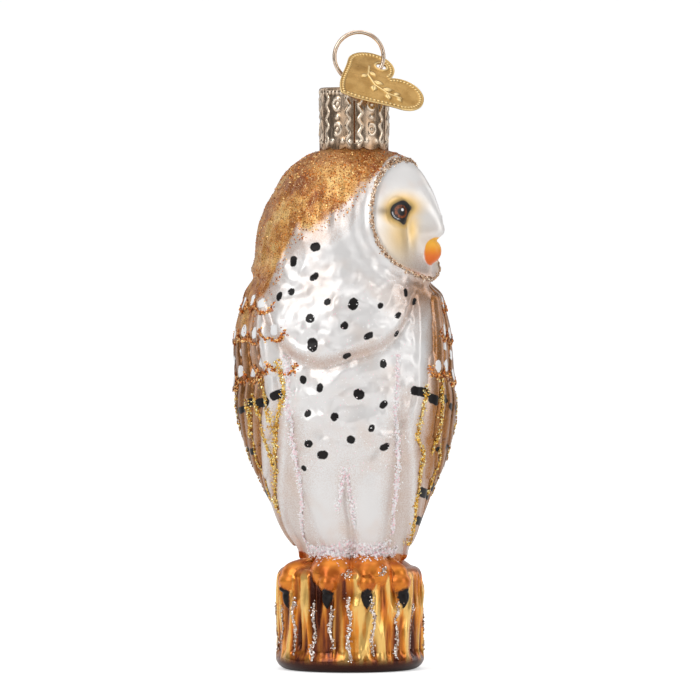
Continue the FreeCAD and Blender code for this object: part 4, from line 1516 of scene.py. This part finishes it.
def cap_surfaces(rows, degrees):
    """Points of the cap's outside and inside about its own axis, and how far the pattern stands out."""
    radius, z = rows[:, :1], rows[:, 1:]
    x, y = np.sin(np.radians(degrees)), -np.cos(np.radians(degrees))
    side = radius >= CAP_RADIUS
    lobes = SCALLOP_HEIGHT * (1 - np.sqrt(np.abs(np.cos(np.radians(degrees) * SCALLOPS / 2))))
    z = z + lobes * ramp(2.2, 0.0, z)
    dents = 0.10 * soft_noise(np.stack(np.broadcast_arrays(7 * x, -7 * y, z), -1), 2.6, 51)
    raised = cap_pattern(degrees, z) * ramp(0.3, 0.9, z) * (radius > CAP_RADIUS - 0.1)
    out = radius + (EMBOSS * raised + dents - EMBOSS) * side
    inner = np.minimum(radius, CAP_RADIUS - CAP_SHEET)
    z = CAP_LOW[2] + z
    under = z - np.where(side, 0, CAP_SHEET)
    front = np.stack(np.broadcast_arrays(out * x, out * y, z), -1).reshape(-1, 3)
    back = np.stack(np.broadcast_arrays(inner * x, inner * y, under), -1).reshape(-1, 3)
    return front, back, raised.reshape(-1)


def in_slot(face, front, degrees):
    """Whether a face of the side lies in one of the upright slots."""
    middle = np.mean(front[face, 2]) - CAP_LOW[2]
    here = degrees[face[0] % CAP_COLUMNS] + 180 / CAP_COLUMNS
    from_slot = abs((here + 180 / CAP_SLOTS) % (360 / CAP_SLOTS) - 180 / CAP_SLOTS)
    on_side = face[0] < CAP_SIDE_ROWS * CAP_COLUMNS
    return on_side and SLOT_SPAN[0] < middle < SLOT_SPAN[1] and from_slot < SLOT_HALF_ANGLE


def build_cap():
    """The stamped cup with its slots, scalloped foot and two wire holes."""
    rows = cap_rows()
    degrees = np.arange(CAP_COLUMNS) * 360 / CAP_COLUMNS + 0.5
    front, back, raised = cap_surfaces(rows, degrees)
    faces = [face for face in grid_faces(len(rows), CAP_COLUMNS) if not in_slot(face, front, degrees)]
    top = front[:, 2] > CAP_HIGH[2] - 0.01
    for side in (-1, 1):
        places = np.where(top[:, None], front[:, :2], 99.0)
        faces = cut_hole(places, faces, np.array((side * LEG_SPACING / 2, 0)), LEG_HOLE, 0.07)
        front[top, :2] = places[top]
        back[top, :2] = places[top]
    shift = np.array((NECK_X, 0, 0))
    cap = sheet_metal("stamped_cap", front + shift, back + shift, faces, {"raised": raised})
    take_place(cap, cap_metal(), "cap", "cap")


def cap_metal():
    """Pale gold plate, with painted highlight on the stamped pattern and painted shade in the recesses."""
    s = Shader("cap_metal")
    stain = s.remap(s.noise(0.35, 3), 0.35, 0.70)
    plate = s.mix(stain, CAP_PLATE, CAP_STAIN)
    standing = s.remap(s.field("raised"), 0.05, 0.65)
    # Painted shade on the plate between the stamped pattern, painted highlight on the pattern itself.
    colour = s.mix(standing, s.mix(0.55, plate, CAP_RECESS_SHADE), s.mix(0.5, plate, CAP_HIGHLIGHT))
    foot = s.remap(s.node_height(), CAP_LOW[2] + 0.3, CAP_LOW[2] + 2.0, 0.55, 0.0)
    colour = s.mix(foot, colour, CAP_FOOT)
    brushed = s.noise(2.6, 3, (1, 1, 0.12))
    s.bump(brushed, 0.05, 0.5)
    rough = s.remap(brushed, 0.3, 0.7, 0.17, 0.34)
    return s.finish(Base_Color=colour, Metallic=1.0, Roughness=rough)


build_cap()

# ---------------------------------------------------------------- heart tag

TAG_SIDE = np.array((0.622, -0.511, -0.594))
TAG_DOWN = np.array((-0.727, -0.653, -0.213))
TAG_LOBE = 4.6
TAG_LOBE_X = 4.5
TAG_TIP = -11.6
# How far a flank swells past a straight line at its fullest; t * t * (1 - t) peaks at 1 / SWELL_SCALE.
TAG_SWELL = 0.6
SWELL_SCALE = 6.75
TAG_SHEET = 0.32
TAG_BOW = 0.0048
TAG_HOLE = 1.0
TAG_HOLE_PLACE = np.array((-3.7, 1.95))
TAG_MIDDLE = np.array((0.0, -2.7))
TAG_CENTRE_SHARE = 0.012
BORDER_INSET = 0.66
BORDER_PITCH = 0.78
BORDER_BEAD = 0.30
LOOP_RADIUS = 4.65
LOOP_CENTRE = np.array((NECK_X + 0.9, 0, 116.3))
TAG_WIRE_ANGLE = math.radians(-25)
TAG_RAYS = 480
TAG_RINGS = 46


TAG_PLATE = (0.57, 0.345, 0.115)
TAG_TARNISH = (0.43, 0.24, 0.068)
TAG_BRIGHT = (0.92, 0.68, 0.32)


def heart_outline():
    """The heart's closed edge: two round lobes and two flanks that swell a little towards the tip."""
    touch = math.atan2(TAG_TIP, -TAG_LOBE_X) + math.acos(TAG_LOBE / math.hypot(TAG_LOBE_X, TAG_TIP))
    cleft = math.atan2(math.sqrt(TAG_LOBE**2 - TAG_LOBE_X**2), -TAG_LOBE_X)
    lobe = np.linspace(cleft, touch, 90)
    half = [(TAG_LOBE_X + TAG_LOBE * math.cos(a), TAG_LOBE * math.sin(a)) for a in lobe]
    foot = np.array(half[-1])
    run = np.array((0, TAG_TIP)) - foot
    outward = np.array((-run[1], run[0])) / np.hypot(*run)
    for t in np.linspace(0, 1, 40)[1:]:
        swell = TAG_SWELL * SWELL_SCALE * t**2 * (1 - t)
        half.append(tuple(foot + run * t + outward * swell))
    return np.array(half + [(-x, y) for x, y in reversed(half[:-1])])


def inset_beads(closed, inset, pitch):
    """Even places along the heart, set in from its edge."""
    steps = np.hypot(*np.diff(closed, axis=0).T)
    along = np.concatenate(([0], np.cumsum(steps)))
    places = np.arange(0, along[-1], pitch)
    spots = np.stack([np.interp(places, along, closed[:, k]) for k in range(2)], axis=1)
    ahead = np.stack([np.interp((places + 0.1) % along[-1], along, closed[:, k]) for k in range(2)], axis=1)
    way = ahead - spots
    way /= np.linalg.norm(way, axis=1, keepdims=True)
    inward = np.stack((way[:, 1], -way[:, 0]), axis=1)
    return spots + inset * inward


# The sprig's stem and its leaves: foot of each leaf along the stem, side and length.
STEM = ((-4.6, -0.4), (-2.4, -2.6), (0.6, -3.4), (3.6, -2.6), (5.6, -0.9))
LEAVES = ((0.12, 1, 2.3), (0.22, -1, 2.2), (0.38, 1, 2.7), (0.48, -1, 2.6), (0.62, 1, 2.6), (0.72, -1, 2.4),
          (0.84, 1, 2.0), (0.92, -1, 1.8))


def away_from_line(places, line):
    """Distance of each place from a chain of points."""
    best = np.full(len(places), 99.0)
    for start, end in zip(line[:-1], line[1:]):
        run = end - start
        t = np.clip((places - start) @ run / (run @ run), 0, 1)
        best = np.minimum(best, np.linalg.norm(places - start - t[:, None] * run, axis=1))
    return best


def sprig_relief(places):
    """A stamped sprig of pointed leaves."""
    stem = np.array(STEM)
    share = np.linspace(0, 1, len(stem))
    raised = 0.8 * bell(away_from_line(places, stem), 0.2)
    for along, side, long in LEAVES:
        foot = np.array([np.interp(along, share, stem[:, k]) for k in range(2)])
        ahead = np.array([np.interp(along + 0.05, share, stem[:, k]) for k in range(2)]) - foot
        bearing = math.atan2(ahead[1], ahead[0]) + side * math.radians(48)
        way = np.array((math.cos(bearing), math.sin(bearing)))
        off = places - foot - way * long / 2
        lengthwise = off @ way / (long / 2)
        across = off @ np.array((-way[1], way[0])) / (0.27 * long)
        inside = np.clip(1 - lengthwise**2 - np.abs(across) / np.clip(1 - lengthwise**2, 0.05, 1), 0, 1)
        raised = np.maximum(raised, np.sqrt(inside) * (1 - 0.45 * bell(across, 0.22)))
    return raised


def tag_grid(closed):
    """Flat places and faces of the heart: rings from its edge inwards, with the hole cut out."""
    off = closed[:-1] - TAG_MIDDLE
    bearing = np.degrees(np.arctan2(off[:, 0], off[:, 1])) % 360
    rays = np.linspace(0, 360, TAG_RAYS, endpoint=False)
    out = np.interp(rays, bearing, np.hypot(off[:, 0], off[:, 1]), period=360)
    share = np.linspace(TAG_CENTRE_SHARE, 1, TAG_RINGS)[::-1, None]
    way = np.stack((np.sin(np.radians(rays)), np.cos(np.radians(rays))), axis=-1)
    places = (TAG_MIDDLE + (share * out)[..., None] * way).reshape(-1, 2)
    faces = [tuple(map(int, face)) for face in grid_faces(TAG_RINGS, TAG_RAYS)]
    faces = cut_hole(places, faces, TAG_HOLE_PLACE, TAG_HOLE, 0.11)
    return places, faces + [tuple(range((TAG_RINGS - 1) * TAG_RAYS, TAG_RINGS * TAG_RAYS))]


def tag_relief(places, closed):
    """How far the stamping stands out: a beaded border, a sprig, the rim and the hole's lip."""
    beads = inset_beads(closed, BORDER_INSET, BORDER_PITCH)
    nearest = np.min(np.linalg.norm(places[:, None] - beads, axis=-1), axis=1)
    border = np.sqrt(np.clip(1 - (nearest / BORDER_BEAD) ** 2, 0, 1))
    edge = bell(away_from_line(places, closed), 0.22)
    lip = bell(np.hypot(*(places - TAG_HOLE_PLACE).T) - TAG_HOLE - 0.2, 0.25)
    return np.maximum.reduce((0.75 * border, sprig_relief(places), 0.6 * edge, 0.7 * lip))


def build_tag():
    """The stamped heart, bowed a little across, hung on the loop."""
    closed = heart_outline()
    places, faces = tag_grid(closed)
    raised = tag_relief(places, closed)
    bow = TAG_BOW * places[:, 0] ** 2
    front = np.column_stack((places, TAG_SHEET + 0.2 * raised - bow))
    back = np.column_stack((places, 0.09 * raised - bow))
    tag = sheet_metal("stamped_tag", in_place(front), in_place(back), faces, {"raised": raised})
    take_place(tag, tag_brass(), "heart_tag", "tag")


def in_place(tag_points):
    """Points of the tag's own frame hung on the loop."""
    side = TAG_SIDE / np.linalg.norm(TAG_SIDE)
    face = np.cross(TAG_DOWN, side)
    face /= np.linalg.norm(face)
    up = np.cross(face, side)
    hang = LOOP_CENTRE + LOOP_RADIUS * np.array((math.cos(TAG_WIRE_ANGLE), 0, math.sin(TAG_WIRE_ANGLE)))
    hole = np.array((*TAG_HOLE_PLACE, TAG_SHEET / 2))
    return hang + (tag_points - hole) @ np.array((side, up, face))


def tag_brass():
    """Satin brass with fine scratches, brighter on the stamped relief as wear and painted highlight."""
    s = Shader("tag_brass")
    tarnish = s.remap(s.noise(0.4, 3), 0.35, 0.7)
    plate = s.mix(tarnish, TAG_PLATE, TAG_TARNISH)
    worn_and_highlight = s.remap(s.field("raised"), 0.15, 0.7)
    colour = s.mix(worn_and_highlight, plate, TAG_BRIGHT)
    scratches = s.times(s.noise(2.0, 2, (1, 6, 1)), 0.5)
    s.bump(s.plus(s.times(s.noise(6.0, 2), 0.5), scratches), 0.035, 0.5)
    rough = s.remap(s.noise(3.0, 2), 0.3, 0.7, 0.27, 0.42)
    return s.finish(Base_Color=colour, Metallic=1.0, Roughness=rough)


build_tag()

# ---------------------------------------------------------------- hanger

WIRE_ROSE = (0.72, 0.52, 0.38)
WIRE_RUBBED = (0.86, 0.72, 0.58)


def hanger_wire():
    """Rose gold plated spring wire with drawing lines and rubbed patches."""
    s = Shader("hanger_wire")
    rubbed = s.remap(s.noise(0.7, 3), 0.35, 0.68)
    colour = s.mix(rubbed, WIRE_ROSE, WIRE_RUBBED)
    s.bump(s.noise(5.0, 2, (1, 1, 0.2)), 0.02, 0.5)
    return s.finish(Base_Color=colour, Metallic=1.0, Roughness=s.remap(rubbed, 0, 1, 0.32, 0.20))


bpy.data.objects["wire_hanger"].material_slots[0].material = hanger_wire()

# ---------------------------------------------------------------- floor, light and camera

# Lengths of the stage are metres.
FLOOR_HALF_WIDTH = 1.0
FLOOR_DEPTH = 1.6
WALL_HEIGHT = 1.6
BEND_RADIUS = 0.5
PAPER_LOW = (0.90, 0.90, 0.90)
PAPER_HIGH = (0.93, 0.93, 0.93)
# The paper glows a little, as a background lit by its own lamps does.
PAPER_GLOW = 0.55
ROOM_LOW = (0.10, 0.10, 0.10)
ROOM_HIGH = (0.75, 0.75, 0.76)
SEEN_WHITE = (1.0, 1.0, 1.0)
LIGHT_TARGET = Vector((0, 0, 0.06))
# Name, place, width and height, and watts of each light.
SOFTBOXES = (
    ("key", (-0.55, -0.75, 0.55), (0.55, 0.75), 3.5),
    ("fill", (0.75, -0.55, 0.30), (0.45, 0.70), 1.7),
    ("top", (0.0, -0.05, 1.0), (0.9, 0.9), 2.2),
    ("back_left", (-0.75, 0.6, 0.35), (0.4, 0.7), 1.0),
    ("back_right", (0.75, 0.6, 0.35), (0.4, 0.7), 1.0),
)
CAMERA_DISTANCE = 1.20
CAMERA_ELEVATION = math.radians(1.0)
SEEN_WIDTH = 0.133
AIM = Vector((0, 0, 0.0606))


def paper():
    """Matt pale paper that glows only for the camera."""
    s = Shader("pale_paper")
    shade = s.mix(s.noise(0.02, 2), PAPER_LOW, PAPER_HIGH)
    seen = s.node("ShaderNodeLightPath").outputs["Is Camera Ray"]
    glow = s.times(seen, PAPER_GLOW)
    return s.finish(Base_Color=shade, Roughness=0.85, Emission_Color=shade, Emission_Strength=glow)


def floor_and_wall():
    """A pale floor that curves up into a wall behind the object."""
    profile = [(-FLOOR_DEPTH, 0.0), (FLOOR_DEPTH - BEND_RADIUS, 0.0)]
    for a in np.radians(np.linspace(6, 90, 15)):
        away = FLOOR_DEPTH - BEND_RADIUS + BEND_RADIUS * math.sin(a)
        profile.append((away, BEND_RADIUS * (1 - math.cos(a))))
    profile.append((FLOOR_DEPTH, WALL_HEIGHT))
    verts = [(side * FLOOR_HALF_WIDTH, y, z) for y, z in profile for side in (-1, 1)]
    faces = [(2 * i, 2 * i + 1, 2 * i + 3, 2 * i + 2) for i in range(len(profile) - 1)]
    mesh = bpy.data.meshes.new("sweep")
    mesh.from_pydata(verts, [], faces)
    mesh.polygons.foreach_set("use_smooth", [True] * len(faces))
    mesh.materials.append(paper())
    add_object("sweep", mesh)


def look_at(thing, spot, target):
    """Moves a light or camera to a spot and points it at the target."""
    thing.location = spot
    thing.rotation_euler = (target - Vector(spot)).to_track_quat("-Z", "Y").to_euler()


def softboxes():
    """Large soft lights round the object."""
    for name, spot, size, power in SOFTBOXES:
        data = bpy.data.lights.new(name, "AREA")
        data.shape = "RECTANGLE"
        data.size, data.size_y = size
        data.energy = power
        look_at(add_object(name, data), spot, LIGHT_TARGET)


def surroundings():
    """White where the camera looks past the object; a dim room, lighter overhead, for everything else."""
    world = bpy.data.worlds.new("studio")
    bpy.context.scene.world = world
    world.use_nodes = True
    tree = world.node_tree
    direction = tree.nodes.new("ShaderNodeSeparateXYZ")
    tree.links.new(tree.nodes.new("ShaderNodeTexCoord").outputs["Generated"], direction.inputs[0])
    room = tree.nodes.new("ShaderNodeValToRGB")
    room.color_ramp.elements[0].color = (*ROOM_LOW, 1)
    room.color_ramp.elements[1].color = (*ROOM_HIGH, 1)
    tree.links.new(direction.outputs["Z"], room.inputs["Fac"])
    seen = tree.nodes.new("ShaderNodeLightPath")
    shade = tree.nodes.new("ShaderNodeMix")
    shade.data_type = "RGBA"
    shade.inputs[7].default_value = (*SEEN_WHITE, 1)
    tree.links.new(room.outputs["Color"], shade.inputs[6])
    tree.links.new(seen.outputs["Is Camera Ray"], shade.inputs["Factor"])
    tree.links.new(shade.outputs[2], tree.nodes["Background"].inputs["Color"])


def camera():
    """A long lens level with the object, framed as the whole ornament with a margin above and below."""
    data = bpy.data.cameras.new("camera")
    data.lens = data.sensor_width * CAMERA_DISTANCE / SEEN_WIDTH
    seat = AIM + Vector((0, -math.cos(CAMERA_ELEVATION), math.sin(CAMERA_ELEVATION))) * CAMERA_DISTANCE
    made = add_object("camera", data)
    look_at(made, seat, AIM)
    bpy.context.scene.camera = made


floor_and_wall()
softboxes()
surroundings()
bpy.context.scene.view_settings.view_transform = "Standard"
camera()
